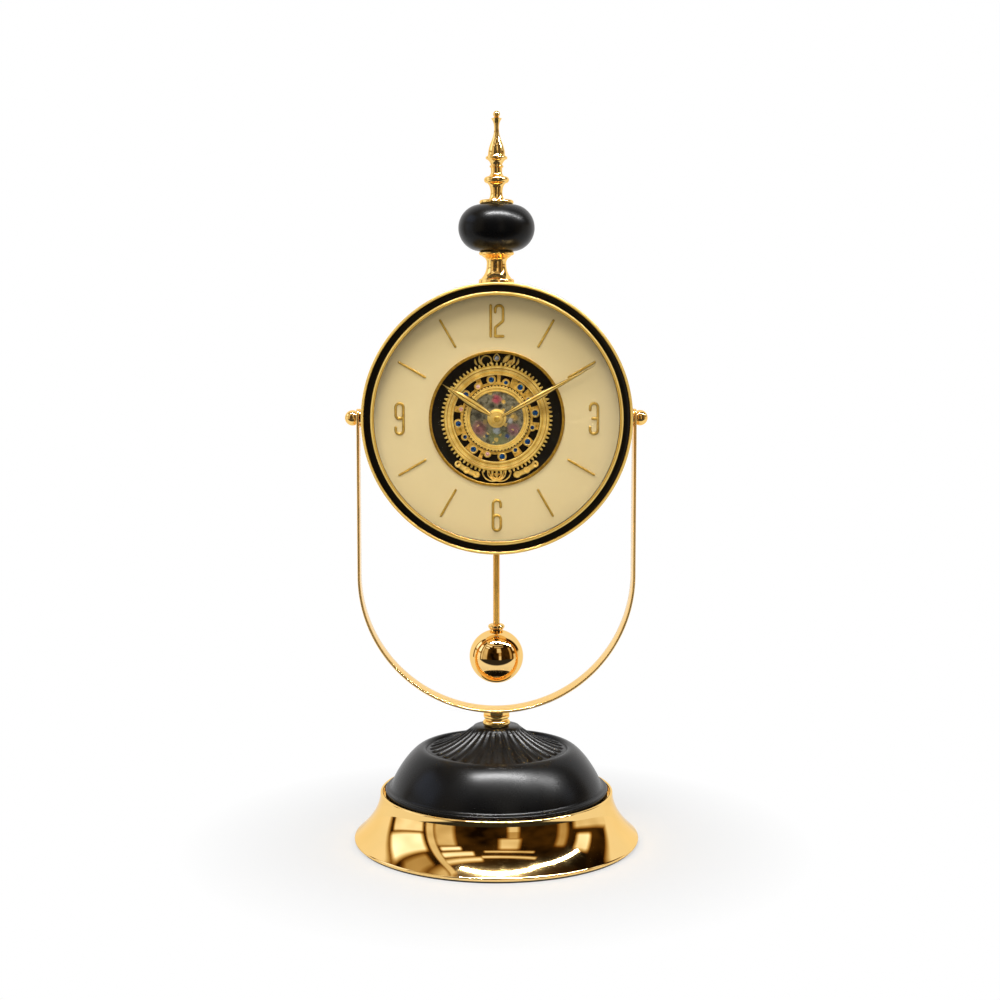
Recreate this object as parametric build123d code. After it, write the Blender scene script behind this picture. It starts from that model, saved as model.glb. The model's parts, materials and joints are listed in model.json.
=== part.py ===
import math
import os

from build123d import *

# Desk clock: a round drum that tilts in a U-shaped yoke on a domed foot, with a swinging pendulum.
# Millimetres. +Z is up, the dial faces -Y, and the origin is the middle of the foot on the table.

# Clearances shared by all fits
fit_gap = 0.05
run_gap = 0.3
slide_gap = 0.1

# Shape constants for turned curves
quarter_pull = 0.5523
soft_bead = 0.2
cove = -0.2

# Foot pad and flared skirt
base_radius = 90.0
pad_thickness = 1.2
pad_inset = 2.0
skirt_height = 32.5
skirt_wall = 1.8
rim_height = 2.4
rim_tuck = 1.2
rim_shoulder = 0.5
hem_width = 5.0
hem_thickness = 1.2
lip_radius = 73.5
lip_width = 1.8
flare_foot_run = 5.0
flare_foot_rise = 4.6
flare_neck_run = 0.7
flare_neck_drop = 14.0
ledge_drop = 3.9
ledge_width = 10.0
ledge_thickness = 1.4

# Black dome with the fluted cone
dome_lip_gap = 1.4
dome_lip_height = 4.8
dome_lip_round = 1.0
dome_cove_width = 2.8
dome_cove_rise = 1.8
dome_height = 31.3
dome_wall = 2.0
dome_side_run = 4.5
dome_side_rise = 11.1
dome_crown_run = 5.1
dome_crown_drop = 0.4
crest_radius = 47.2
crest_roll_width = 2.8
crest_roll_drop = 1.5
cone_top_radius = 14.3
cone_height = 14.9
cone_hollow = 2.0
cone_edge = 0.7
cone_skin = 4.6
flute_count = 32
flute_land = 0.14
flute_depth = 1.3
flute_start = 2.0
flute_end = 0.8
flute_sections = 5

# Ballast and the stud that ties the foot to the yoke
ballast_gap = 1.7
ballast_thickness = 10.0
stud_radius = 3.0
tie_washer_radius = 8.0
tie_washer_thickness = 1.6
tie_nut_across = 10.0
tie_nut_height = 5.0
tie_stud_tail = 1.5

# Ferrule between dome and yoke
ferrule_height = 9.6
ferrule_foot_radius = 8.55
ferrule_foot_height = 4.2
ferrule_groove_radius = 7.2
ferrule_groove_height = 0.9
ferrule_head_radius = 8.2

# Yoke strap
strap_thickness = 1.6
strap_width = 16.0
arm_length = 98.5
arm_end = 5.6
arm_corner = 4.0

# Pivots
pivot_radius = 2.5
pivot_head_radius = 5.0
pivot_head_thickness = 3.0
pivot_washer_radius = 5.5
pivot_washer_thickness = 2.0
pivot_reach = 2.6
knob_radius = 4.8
knob_collar_radius = 3.9
knob_collar_height = 0.6
knob_sink = 2.0

# Drum case
drum_radius = 83.0
drum_depth = 44.0
case_wall = 1.8
case_round = 0.7
ledge_reach = 3.0
front_ledge_thickness = 2.0
rear_ledge_reach = 6.5
rear_ledge_thickness = 2.0
rear_recess = 3.0

# Front rings and glass
black_ring_width = 4.0
black_ring_recess = 0.8
gold_ring_width = 2.2
gold_ring_recess = 0.4
gold_ring_flange = 2.0
gold_ring_sleeve = 0.7
glass_thickness = 2.0
glass_gap = 0.7

# Dial
dial_thickness = 1.2
aperture_radius = 40.0
aperture_ring_lip = 0.15
aperture_ring_width = 1.75
aperture_ring_height = 1.0
mark_height = 0.9
mark_margin = 5.4
bar_margin = 8.2
bar_width = 1.3
numeral_margin = 7.6
numeral_width = 6.5
numeral_stroke = 1.75
numeral_hook = 1.6
one_place = 3.75
two_place = 1.4
two_heel = 5.3
three_bar = 3.2

# Well behind the dial opening
well_wall = 1.2
well_depth = 4.8
well_floor = 1.0
well_flange = 4.0
well_flange_thickness = 1.2

# Open toothed work in the well, from the dial opening inwards
gear_margin = 5.8
gear_teeth = 78
gear_tooth = 1.9
gear_width = 5.8
gear_thickness = 2.0
gear_lift = 2.0
gear_bevel_width = 3.4
gear_bevel_drop = 1.2
tooth_foot = 0.27
tooth_head = 0.19
pillar_count = 6
pillar_radius = 1.3
pillar_inset = 1.7
bridge_gap = 0.2
bridge_width = 5.8
bridge_height = 1.8
bridge_rail = 1.6
bridge_lobe = 0.6
arm_angles = (3.0, 26.0, 53.0, 76.0, 101.0, 127.0, 149.0, 203.0, 222.0, 252.0, 283.0, 306.0, 334.0)
arm_spans = (5.0, 9.0, 12.0, 7.0, 10.0, 11.0, 12.0, 5.0, 11.0, 12.0, 8.0, 10.0, 7.0)
inner_teeth = 60
inner_tooth = 1.1
inner_width = 2.8
inner_height = 3.1
inner_bevel = 0.9
disc_height = 1.9

# Jewels round the bridge ring
jewel_count = 8
big_jewel_angle = -8.0
small_jewel_angle = 14.5
big_jewel_inset = 2.6
small_jewel_inset = 3.8
big_jewel_radius = 1.8
small_jewel_radius = 1.25
jewel_rim = 0.5
setting_height = 0.8
jewel_height = 0.7
small_jewel_order = "blue blue blue blue pink blue pink pink"

# Scroll work above and below the gear
scroll_height = 1.6
scroll_margin = 3.3
scroll_stroke = 0.95
teardrop_radius = 2.3
teardrop_point = 3.0
stone_radius = 1.3
curl_radius = 3.1
curl_place = 6.3
curl_drop = 1.7
curl_first_angle = -25.0
curl_last_angle = 230.0
curl_eye = 0.75
leaf_length = 5.8
leaf_width = 2.8
leaf_angle = 43.0
leaf_place = 6.0
plume_angles = (18.5, 22.5)
plume_bend = 4.0
plume_half_angle = 33.0
plume_width = 1.0
loop_radius = 6.6
loop_place = 2.2
loop_lift = 4.6
link_radius = 1.9
link_place = 1.7
link_lift = 0.7
foot_plate_width = 2.6
foot_plate_first_angle = 16.5
foot_plate_last_angle = 40.0
foot_lobe_radius = 1.95
foot_lobe_hole = 0.85
foot_lobe_angles = (20.5, 31.0, 41.0)

# Movement
bay_wall = 2.65
bay_web = 1.5
bay_roof = 4.5
movement_below = 45.0
movement_front_depth = 9.0
movement_rear_depth = 9.0
movement_corner = 3.0
bushing_radius = 4.0
bushing_bore = 2.9
bushing_flange_radius = 6.0
bushing_flange = 1.0
bushing_stand = 1.2
nut_radius = 5.8
nut_step_radius = 4.9
nut_step_height = 0.6
wheel_pocket_radius = 9.0
pocket_floor = 1.5

# Battery
cell_radius = 7.1
cell_length = 49.2
cell_nub_radius = 2.75
cell_nub_length = 1.3
cell_side_gap = 0.4
bay_floor = 2.7
contact_thickness = 1.0
contact_size = 9.0

# Arbors and hands
arbor_radius = 1.4
pipe_radius = 2.5
pipe_bore = 1.7
pipe_flange_radius = 7.5
pipe_flange = 1.2
hour_hand_lift = 1.6
hand_thickness = 0.8
hand_gap = 0.9
hand_edge_drop = 0.45
hour_tip_gap = 1.1
hour_width = 5.4
hour_widest = 0.45
hour_hub = 4.4
hour_angle = 302.3
minute_tip_gap = 6.0
minute_width = 3.7
minute_widest = 0.4
minute_hub = 3.4
minute_angle = 61.5
hand_root_width = 1.5
cap_radius = 1.9
cap_height = 1.1
setting_radius = 5.5
setting_thickness = 3.6
setting_ribs = 18
setting_rib = 0.5

# Pendulum
pendulum_web = 2.0
pendulum_swing = 6.0
pin_radius = 1.5
pin_bite = 1.6
pendulum_bay_width = 26.0
pendulum_bay_depth = 8.0
pendulum_bay_room = 2.0
hanger_width = 6.0
hanger_thickness = 3.0
hanger_eye = 4.0
hanger_tail = 8.0
rod_radius = 2.05
rod_socket = 5.0
bob_radius = 17.0
bob_wall = 1.2
bob_gap = 15.5
collar_radius = 5.2
collar_height = 3.0
collar_neck_radius = 4.2
collar_neck_height = 1.1

# Rear cover
cover_thickness = 1.6
window_margin = 2.5
window_corner = 4.0
screw_count = 4
screw_radius = 1.2
screw_head_radius = 2.3
screw_head_height = 1.1
screw_inset = 3.2

# Finial
socket_height = 19.5
socket_foot_radius = 10.95
socket_foot_height = 2.7
socket_waist_radius = 6.1
socket_waist_height = 11.0
socket_neck_radius = 6.9
socket_neck_height = 15.0
socket_head_radius = 10.8
socket_head_height = 2.6
finial_ball_radius = 23.5
finial_ball_height = 28.4
finial_ball_flat = 9.6
finial_stud_radius = 2.5
finial_stud_bite = 8.0
finial_nut_across = 8.0
finial_nut_height = 4.0
finial_nut_seat = 0.6
spire_flange_radius = 10.5
spire_flange_height = 2.8
spire_foot_radius = 5.0
spire_neck_radius = 3.9
spire_neck_rise = 6.6
spire_knop_radius = 7.7
spire_knop_width = 4.0
spire_knop_rise = 5.5
spire_throat_radius = 3.5
spire_throat_rise = 5.4
spire_ring_radius = 4.3
spire_ring_rise = 2.7
spire_ring_width = 1.6
spire_collar_radius = 6.7
spire_collar_width = 2.0
spire_collar_rise = 5.2
spire_vase_radius = 5.2
spire_vase_rise = 1.8
vase_shoulder = 0.4
spire_waist_radius = 1.5
spire_waist_rise = 15.6
spire_crown_radius = 3.25
spire_crown_rise = 6.3
spire_tip_gap = 0.9
spire_tip_neck = 1.2
spire_tip_radius = 2.1

# Heights that follow from the sizes above
pad_top = pad_thickness
lip_round = lip_width / 2
flare_top = skirt_height - lip_round
ledge_top = skirt_height - ledge_drop
ledge_bottom = ledge_top - ledge_thickness
dome_lip_radius = lip_radius - lip_width - dome_lip_gap
crest_height = ledge_top + dome_height
valley_radius = crest_radius - crest_roll_width
valley_height = crest_height - crest_roll_drop
cone_top = valley_height + cone_height
strap_bottom = cone_top + ferrule_height
strap_inner = drum_radius + pivot_washer_thickness
strap_outer = strap_inner + strap_thickness
bend_height = strap_bottom + strap_outer
drum_height = bend_height + arm_length

# Depths along Y that follow from the sizes above
drum_front = -drum_depth / 2
drum_back = drum_depth / 2
case_inner = drum_radius - case_wall
seat_radius = case_inner - fit_gap
gold_ring_outer = case_inner - black_ring_width
gold_ring_inner = gold_ring_outer - gold_ring_width
gold_front = drum_front + gold_ring_recess
glass_front = gold_front + gold_ring_flange
glass_back = glass_front + glass_thickness
hand_stack = hour_hand_lift + hand_gap + hand_thickness + cap_height
dial_front = glass_back + glass_gap + hand_stack + aperture_ring_height
dial_back = dial_front + dial_thickness
floor_front = dial_back + well_depth
floor_back = floor_front + well_floor
seam = floor_back + movement_front_depth
movement_back = seam + movement_rear_depth
cover_back = drum_back - rear_recess + cover_thickness
cover_front = drum_back - rear_recess

# Radii on the dial and in its opening that follow from the sizes above
aperture_ring_inner = aperture_radius - aperture_ring_lip
ring_outer = aperture_ring_inner + aperture_ring_width
mark_outer = gold_ring_inner - mark_margin
bar_inner = ring_outer + bar_margin
bar_length = mark_outer - bar_inner
numeral_inner = ring_outer + numeral_margin
numeral_height = mark_outer - numeral_inner
numeral_radius = (mark_outer + numeral_inner) / 2
hour_length = ring_outer - hour_tip_gap
minute_length = gold_ring_inner - minute_tip_gap
gear_tip = aperture_radius - gear_margin
gear_root = gear_tip - gear_tooth
gear_bore = gear_root - gear_width
pillar_circle = gear_root - pillar_inset
bridge_outer = gear_bore - bridge_gap
bridge_inner = bridge_outer - bridge_width
inner_tip = bridge_inner - run_gap
inner_root = inner_tip - inner_tooth
inner_bore = inner_root - inner_width
big_jewel_circle = bridge_outer - big_jewel_inset
small_jewel_circle = bridge_outer - small_jewel_inset
scroll_circle = aperture_radius - scroll_margin

# Movement sizes that follow from the cell and the wheels
bay_length = cell_length + cell_nub_length + 2 * contact_thickness + 4 * fit_gap
bay_tall = 2 * (cell_radius + cell_side_gap)
cell_height = wheel_pocket_radius + bay_web + bay_tall / 2
movement_width = bay_length + 2 * bay_wall
movement_above = cell_height + bay_tall / 2 + bay_roof
pendulum_bay_head = hanger_eye + pendulum_bay_room
pendulum_drop = wheel_pocket_radius + pendulum_web + pendulum_bay_head

drum_axis = Axis((0, 0, drum_height), (0, 1, 0))
drum_plane = Plane(origin=(0, 0, drum_height), x_dir=(1, 0, 0), z_dir=(0, 0, 1))


class Pen:
    # Draws the outline of a turned piece: x is the radius and y the height.
    def __init__(self, radius, height):
        self.start = Vector(radius, height)
        self.here = self.start
        self.edges = []

    def line(self, radius, height):
        end = Vector(radius, height)
        self.edges.append(Line(self.here, end))
        self.here = end
        return self

    def arc(self, radius, height, bulge):
        # The bulge is a share of the chord, outwards when the outline runs upwards.
        end = Vector(radius, height)
        chord = end - self.here
        side = Vector(chord.Y, -chord.X)
        middle = (self.here + end) / 2 + side * bulge
        self.edges.append(ThreePointArc(self.here, middle, end))
        self.here = end
        return self

    def bead(self, middle, end):
        # A bead whose widest point is given.
        last = Vector(*end)
        self.edges.append(ThreePointArc(self.here, Vector(*middle), last))
        self.here = last
        return self

    def curve(self, *points):
        ends = [Vector(*point) for point in points]
        self.edges.append(Bezier(self.here, *ends))
        self.here = ends[-1]
        return self

    def face(self):
        if (self.here - self.start).length > 0:
            self.edges.append(Line(self.here, self.start))
        return make_face(self.edges)

    def turned(self):
        return revolve(Plane.XZ * self.face(), Axis.Z)

    def turned_on_drum(self):
        return revolve(drum_plane * self.face(), drum_axis)


def upright(radius, bottom, top):
    return Pos(0, 0, (bottom + top) / 2) * Cylinder(radius, top - bottom)


def front_plane(depth):
    return Plane(origin=(0, depth, drum_height), x_dir=(1, 0, 0), z_dir=(0, -1, 0))


def on_dial(sketch, back, front):
    return extrude(front_plane(back) * sketch, amount=back - front)


def ring_on_dial(inner, outer, back, front):
    return on_dial(Circle(outer) - Circle(inner), back, front)


def clockwise(angle, radius):
    turn = math.radians(angle)
    return Pos(radius * math.sin(turn), radius * math.cos(turn))


def spoke(angle):
    return Rot(0, 0, -angle)


def sector(inner, outer, first, last):
    # Part of a ring between two angles, clockwise from the top.
    wedge = Polyline(
        (0, 0),
        clockwise(first, 2 * outer).position,
        clockwise(last, 2 * outer).position,
        close=True,
    )
    return (Circle(outer) - Circle(inner)) & make_face(wedge)


def along_x(radius, left, right, height=drum_height, depth=0):
    place = Pos((left + right) / 2, depth, height)
    return place * Rot(0, 90, 0) * Cylinder(radius, right - left)


def along_y(radius, front, back, x=0, height=0):
    place = Pos(x, (front + back) / 2, drum_height + height)
    return place * Rot(90, 0, 0) * Cylinder(radius, back - front)


def hexagon_prism(across, bottom, top):
    flats = RegularPolygon(across / 2, 6, major_radius=False)
    return extrude(Plane.XY.offset(bottom) * flats, amount=top - bottom)


def both_sides(piece):
    return piece + mirror(piece, Plane.YZ)


# Foot pad
base_pad = upright(base_radius - pad_inset, 0, pad_top)

# Skirt: rolled rim, hollow flare, rolled lip and the ledge that carries the dome
rim_top = pad_top + rim_height
flare_start = base_radius - rim_shoulder
skirt = Pen(base_radius - hem_width, pad_top)
skirt.line(base_radius - rim_tuck, pad_top)
skirt.bead((base_radius, pad_top + rim_height / 2), (flare_start, rim_top))
skirt.curve(
    (flare_start - flare_foot_run, rim_top + flare_foot_rise),
    (lip_radius + flare_neck_run, flare_top - flare_neck_drop),
    (lip_radius, flare_top),
)
skirt.bead((lip_radius - lip_round, skirt_height), (lip_radius - lip_width, flare_top))
skirt.line(lip_radius - lip_width, ledge_top)
skirt.line(lip_radius - lip_width - ledge_width, ledge_top)
skirt.line(lip_radius - lip_width - ledge_width, ledge_bottom)
skirt.line(lip_radius - skirt_wall, ledge_bottom)
skirt.curve(
    (lip_radius - skirt_wall + flare_neck_run, flare_top - flare_neck_drop),
    (flare_start - skirt_wall - flare_foot_run, rim_top + flare_foot_rise),
    (flare_start - skirt_wall, rim_top),
)
skirt.line(flare_start - skirt_wall, pad_top + hem_thickness)
skirt.line(base_radius - hem_width, pad_top + hem_thickness)
base_skirt = skirt.turned()

# Dome: foot lip, cove, round side, crest and the hollow-sided cone
lip_top = ledge_top + dome_lip_height
side_radius = dome_lip_radius - dome_lip_round - dome_cove_width
side_height = lip_top + dome_lip_round + dome_cove_rise
dome = Pen(stud_radius + fit_gap, cone_top)
dome.line(stud_radius + fit_gap, cone_top - cone_skin)
dome.line(cone_top_radius - dome_wall, cone_top - cone_skin)
dome.line(valley_radius - dome_wall, valley_height - cone_skin)
dome.line(crest_radius, crest_height - dome_wall)
dome.curve(
    (crest_radius + dome_crown_run - dome_wall, crest_height - dome_crown_drop - dome_wall),
    (side_radius - dome_side_run - dome_wall, side_height + dome_side_rise - dome_wall),
    (side_radius - dome_wall, side_height - dome_wall),
)
dome.line(dome_lip_radius - dome_wall, lip_top)
dome.line(dome_lip_radius - dome_wall, ledge_top)
dome.line(dome_lip_radius, ledge_top)
dome.line(dome_lip_radius, lip_top)
dome.arc(dome_lip_radius - dome_lip_round, lip_top + dome_lip_round, soft_bead)
dome.arc(side_radius, side_height, cove)
dome.curve(
    (side_radius - dome_side_run, side_height + dome_side_rise),
    (crest_radius + dome_crown_run, crest_height - dome_crown_drop),
    (crest_radius, crest_height),
)
dome.arc(valley_radius, valley_height, soft_bead)
cone_run = valley_radius - cone_top_radius - cone_edge
cone_rise = cone_height - cone_edge
cone_chord = math.hypot(cone_run, cone_rise)
dome.arc(cone_top_radius + cone_edge, cone_top - cone_edge, -cone_hollow / cone_chord)
dome.line(cone_top_radius, cone_top)
dome_body = dome.turned()


# Flutes: one tapering groove lofted along the cone's hollow side, repeated round the axis
cone_line = ThreePointArc(
    (valley_radius, 0, valley_height),
    (
        (valley_radius + cone_top_radius + cone_edge) / 2 - cone_hollow * cone_rise / cone_chord,
        0,
        (valley_height + cone_top - cone_edge) / 2 - cone_hollow * cone_run / cone_chord,
    ),
    (cone_top_radius + cone_edge, 0, cone_top - cone_edge),
)


def flute_section(share):
    along = (flute_end + share * (cone_line.length - flute_end - flute_start)) / cone_line.length
    point = cone_line @ along
    tangent = cone_line % along
    outward = Vector(-tangent.Z, 0, tangent.X) * -1
    half_width = math.pi * point.X / flute_count * (1 - flute_land)
    depth = flute_depth * point.X / valley_radius
    radius = (half_width**2 + depth**2) / (2 * depth)
    centre = point + outward * (radius - depth)
    return Plane(origin=centre, x_dir=(0, 1, 0), z_dir=tangent) * Circle(radius)


flute = loft([flute_section(step / (flute_sections - 1)) for step in range(flute_sections)])
flute_turn = 360 / flute_count
flutes = [Rot(0, 0, -90 + flute_turn * (step + 0.5)) * flute for step in range(flute_count)]
base_dome = dome_body - flutes

# Ballast plate, tie stud, washer and nut
ballast_radius = lip_radius - skirt_wall - ballast_gap
ballast_bottom = ledge_bottom - ballast_thickness
washer_bottom = ballast_bottom - tie_washer_thickness
nut_bottom = washer_bottom - tie_nut_height
tie_hole = stud_radius + fit_gap
ballast_plate = upright(ballast_radius, ballast_bottom, ledge_bottom)
ballast_plate -= upright(tie_hole, ballast_bottom, ledge_bottom)
tie_washer = upright(tie_washer_radius, washer_bottom, ballast_bottom)
tie_washer -= upright(tie_hole, washer_bottom, ballast_bottom)
tie_nut = hexagon_prism(tie_nut_across, nut_bottom, washer_bottom)
tie_nut -= upright(tie_hole, nut_bottom, washer_bottom)
tie_rod = upright(stud_radius, nut_bottom - tie_stud_tail, strap_bottom)

# Ferrule: two beads with a groove, hollowed on top to the bend of the strap
groove_bottom = cone_top + ferrule_foot_height
groove_top = groove_bottom + ferrule_groove_height
foot_middle = cone_top + ferrule_foot_height / 2
bend_cut = Pos(0, 0, bend_height) * Rot(90, 0, 0) * Cylinder(strap_outer, strap_width * 2)
ferrule = Pen(tie_hole, cone_top)
ferrule.line(ferrule_groove_radius, cone_top)
ferrule.bead((ferrule_foot_radius, foot_middle), (ferrule_groove_radius, groove_bottom))
ferrule.line(ferrule_groove_radius, groove_top)
ferrule.arc(ferrule_head_radius, groove_top + ferrule_groove_height, soft_bead)
ferrule.line(ferrule_head_radius, strap_bottom + strap_thickness)
ferrule.line(tie_hole, strap_bottom + strap_thickness)
ferrule_piece = ferrule.turned() - bend_cut

# Yoke strap: half circle and two straight arms
arm_top = drum_height + arm_end
strap_outline = Pos(0, bend_height) * Circle(strap_outer)
strap_outline += Pos(0, (bend_height + arm_top) / 2) * Rectangle(2 * strap_outer, arm_top - bend_height)
strap_hollow = Pos(0, bend_height) * Circle(strap_inner)
strap_hollow += Pos(0, (bend_height + arm_top) / 2) * Rectangle(2 * strap_inner, arm_top - bend_height)
strap_face = strap_outline - strap_hollow
yoke_strap = extrude(Plane.XZ.offset(-strap_width / 2) * strap_face, amount=strap_width)
arm_corners = yoke_strap.edges().filter_by(Axis.X).group_by(Axis.Z)[-1]
yoke_strap = fillet(arm_corners, arm_corner)
yoke_strap -= along_x(pivot_radius + run_gap, -2 * strap_outer, 2 * strap_outer)

# Drum case: band with rounded edges, two inner ledges and its holes
case_tube = ring_on_dial(case_inner, drum_radius, drum_back, drum_front)
case_rims = case_tube.edges().filter_by(GeomType.CIRCLE)
case_tube = fillet(case_rims, case_round)
rear_ledge_front = cover_front - rear_ledge_thickness
rear_ledge_inner = case_inner - rear_ledge_reach
ledge_outer = case_inner + case_wall / 2
ledge_back = dial_back + front_ledge_thickness
case_tube += ring_on_dial(case_inner - ledge_reach, ledge_outer, ledge_back, dial_back)
case_tube += ring_on_dial(rear_ledge_inner, ledge_outer, cover_front, rear_ledge_front)
screw_circle = case_inner - screw_inset
screw_angles = [360 / screw_count * (step + 0.5) for step in range(screw_count)]
screw_holes = [clockwise(angle, screw_circle) * Circle(screw_radius + fit_gap) for angle in screw_angles]
case_tube -= on_dial(Sketch() + screw_holes, cover_front, rear_ledge_front)
case_tube -= along_x(pivot_radius + fit_gap, -2 * drum_radius, 2 * drum_radius)
case_tube -= upright(finial_stud_radius + fit_gap, drum_height, drum_height + 2 * drum_radius)
pendulum_depth = seam
slot_reach = (drum_radius - pendulum_drop) * math.tan(math.radians(pendulum_swing)) + rod_radius
slot_half = slot_reach + 2 * run_gap
slot_side = rod_radius + 4 * run_gap
slot = Pos(0, pendulum_depth, drum_height - drum_radius) * Box(2 * slot_half, 2 * slot_side, 4 * case_wall)
drum_case = case_tube - slot

# Pivots: studs through the case, saddle washers and ball knobs
knob_seat = strap_outer + slide_gap
collar_top = knob_seat + knob_collar_height
knob_centre = collar_top + knob_sink
stud_end = collar_top + pivot_reach
case_bore = along_y(case_inner, drum_front, drum_back)
drum_solid = along_y(drum_radius, drum_front, drum_back)
head = along_x(pivot_head_radius, case_inner - pivot_head_thickness, case_inner) & case_bore
pivot_stud = head + along_x(pivot_radius, case_inner - pivot_head_thickness, stud_end)
pivot_studs = both_sides(pivot_stud)
washer = along_x(pivot_washer_radius, case_inner, strap_inner - slide_gap) - drum_solid
washer -= along_x(pivot_radius + fit_gap, case_inner, strap_outer)
pivot_washers = both_sides(washer)
ball = Pos(knob_centre, 0, drum_height) * Sphere(knob_radius)
ball -= along_x(2 * knob_radius, knob_centre - 2 * knob_radius, collar_top)
ball += along_x(knob_collar_radius, knob_seat, collar_top)
ball -= along_x(pivot_radius + fit_gap, knob_seat, stud_end)
pivot_knobs = both_sides(ball)

# Front rings, glass and spacer
black_front = drum_front + black_ring_recess
bezel_ring_black = ring_on_dial(gold_ring_outer + fit_gap, seat_radius, glass_back, black_front)
gold_lip = ring_on_dial(gold_ring_inner, gold_ring_outer, glass_front, gold_front)
gold_lip = fillet(gold_lip.edges().group_by(Axis.Y)[0], gold_ring_width / 4)
glass_radius = gold_ring_outer - gold_ring_sleeve
bezel_ring_gold = gold_lip + ring_on_dial(glass_radius, gold_ring_outer, glass_back, glass_front)
glass = on_dial(Circle(glass_radius - fit_gap), glass_back, glass_front)
dial_spacer = ring_on_dial(gold_ring_inner, seat_radius, dial_front, glass_back)

# Dial plate with its opening and the ring round it
dial_plate = ring_on_dial(aperture_radius, seat_radius, dial_back, dial_front)
ring_front = dial_front - aperture_ring_height
aperture_ring = ring_on_dial(aperture_ring_inner, ring_outer, dial_front, ring_front)
aperture_ring = chamfer(aperture_ring.edges().group_by(Axis.Y)[0], aperture_ring_height / 3)

# Hour bars
mark_front = dial_front - mark_height
bar_place = Pos(0, bar_inner + bar_length / 2) * Rot(0, 0, 90) * SlotOverall(bar_length, bar_width)
bar_hours = [hour for hour in range(12) if hour % 3]
hour_bars = on_dial(Sketch() + [spoke(30 * hour) * bar_place for hour in bar_hours], dial_front, mark_front)


# Numerals: round-ended strokes along lines and half circles
def stroke_line(start, end, width):
    run = Vector(*end) - Vector(*start)
    middle = (Vector(*end) + Vector(*start)) / 2
    angle = math.degrees(math.atan2(run.Y, run.X))
    return Pos(middle.X, middle.Y) * Rot(0, 0, angle) * SlotCenterToCenter(run.length, width)


def stroke_arc(centre, radius, first, last, width):
    return SlotArc(CenterArc(centre, radius, first, last - first), width)


half_wide = (numeral_width - numeral_stroke) / 2
half_tall = (numeral_height - numeral_stroke) / 2
bend = half_tall - half_wide


def pen_line(start, end):
    return stroke_line(start, end, numeral_stroke)


def pen_arch(height, upward):
    first = 0 if upward else 180
    return stroke_arc((0, height), half_wide, first, first + 180, numeral_stroke)


one = pen_line((0, -half_tall), (0, half_tall))
two = pen_line((-half_wide, bend - numeral_hook), (-half_wide, bend))
two += pen_arch(bend, True)
two += pen_line((half_wide, bend), (half_wide, 0))
two += pen_line((half_wide, 0), (-half_wide, two_heel - half_tall))
two += pen_line((-half_wide, two_heel - half_tall), (-half_wide, -half_tall))
two += pen_line((-half_wide, -half_tall), (half_wide, -half_tall))
three = pen_line((-half_wide, bend - numeral_hook), (-half_wide, bend))
three += pen_arch(bend, True)
three += pen_line((half_wide, bend), (half_wide, -bend))
three += pen_line((half_wide, 0), (half_wide - three_bar, 0))
three += pen_arch(-bend, False)
three += pen_line((-half_wide, -bend), (-half_wide, numeral_hook - bend))
six = pen_line((-half_wide, -bend), (-half_wide, bend))
six += pen_arch(bend, True)
six += pen_line((half_wide, bend), (half_wide, bend - numeral_hook))
six += pen_arch(-bend, False)
six += pen_line((half_wide, -bend), (half_wide, -half_wide))
six += pen_arch(-half_wide, True)
nine = Rot(0, 0, 180) * six
twelve = Pos(-one_place, 0) * one + Pos(two_place, 0) * two
numerals = Pos(0, numeral_radius) * twelve
numerals += Pos(numeral_radius, 0) * three
numerals += Pos(0, -numeral_radius) * six
numerals += Pos(-numeral_radius, 0) * nine
hour_numerals = on_dial(numerals, dial_front, mark_front)

# Well: black cup behind the dial
well_outer = aperture_radius + well_wall
movement_well = ring_on_dial(aperture_radius, well_outer, floor_front, dial_back)
flange_rear = dial_back + well_flange_thickness
movement_well += ring_on_dial(aperture_radius, well_outer + well_flange, flange_rear, dial_back)
movement_well += ring_on_dial(bushing_radius + fit_gap, well_outer, floor_back, floor_front)


# Toothed rings
def toothed_outline(teeth, root, tip):
    pitch = 360 / teeth
    corners = []
    for step in range(teeth):
        middle = step * pitch
        corners.append(clockwise(middle - pitch * tooth_foot, root).position)
        corners.append(clockwise(middle - pitch * tooth_head, tip).position)
        corners.append(clockwise(middle + pitch * tooth_head, tip).position)
        corners.append(clockwise(middle + pitch * tooth_foot, root).position)
    return make_face(Polyline(corners, close=True))


def bevel_cut(bore, width, front, drop):
    # Slopes the front of a ring down towards its bore.
    cut = Pen(bore - width, front + 2 * drop)
    cut.line(bore + width, front)
    cut.line(bore + width, front - drop)
    cut.line(bore - width, front - drop)
    return cut.turned_on_drum()


gear_back = floor_front - gear_lift
gear_front = gear_back - gear_thickness
gear_face = toothed_outline(gear_teeth, gear_root, gear_tip) - Circle(gear_bore)
ring_gear = on_dial(gear_face, gear_back, gear_front)
ring_gear -= bevel_cut(gear_bore, gear_bevel_width, gear_front, gear_bevel_drop)
pillar_turn = 360 / pillar_count
pillar_angles = [pillar_turn * (step + 0.5) for step in range(pillar_count)]
pillars = [clockwise(angle, pillar_circle) * Circle(pillar_radius) for angle in pillar_angles]
gear_pillars = on_dial(Sketch() + pillars, floor_front, gear_back)
inner_front = floor_front - inner_height
inner_face = toothed_outline(inner_teeth, inner_root, inner_tip) - Circle(inner_bore)
inner_ring = on_dial(inner_face, floor_front, inner_front)
inner_ring -= bevel_cut(inner_bore, inner_bevel, inner_front, inner_bevel)

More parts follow.
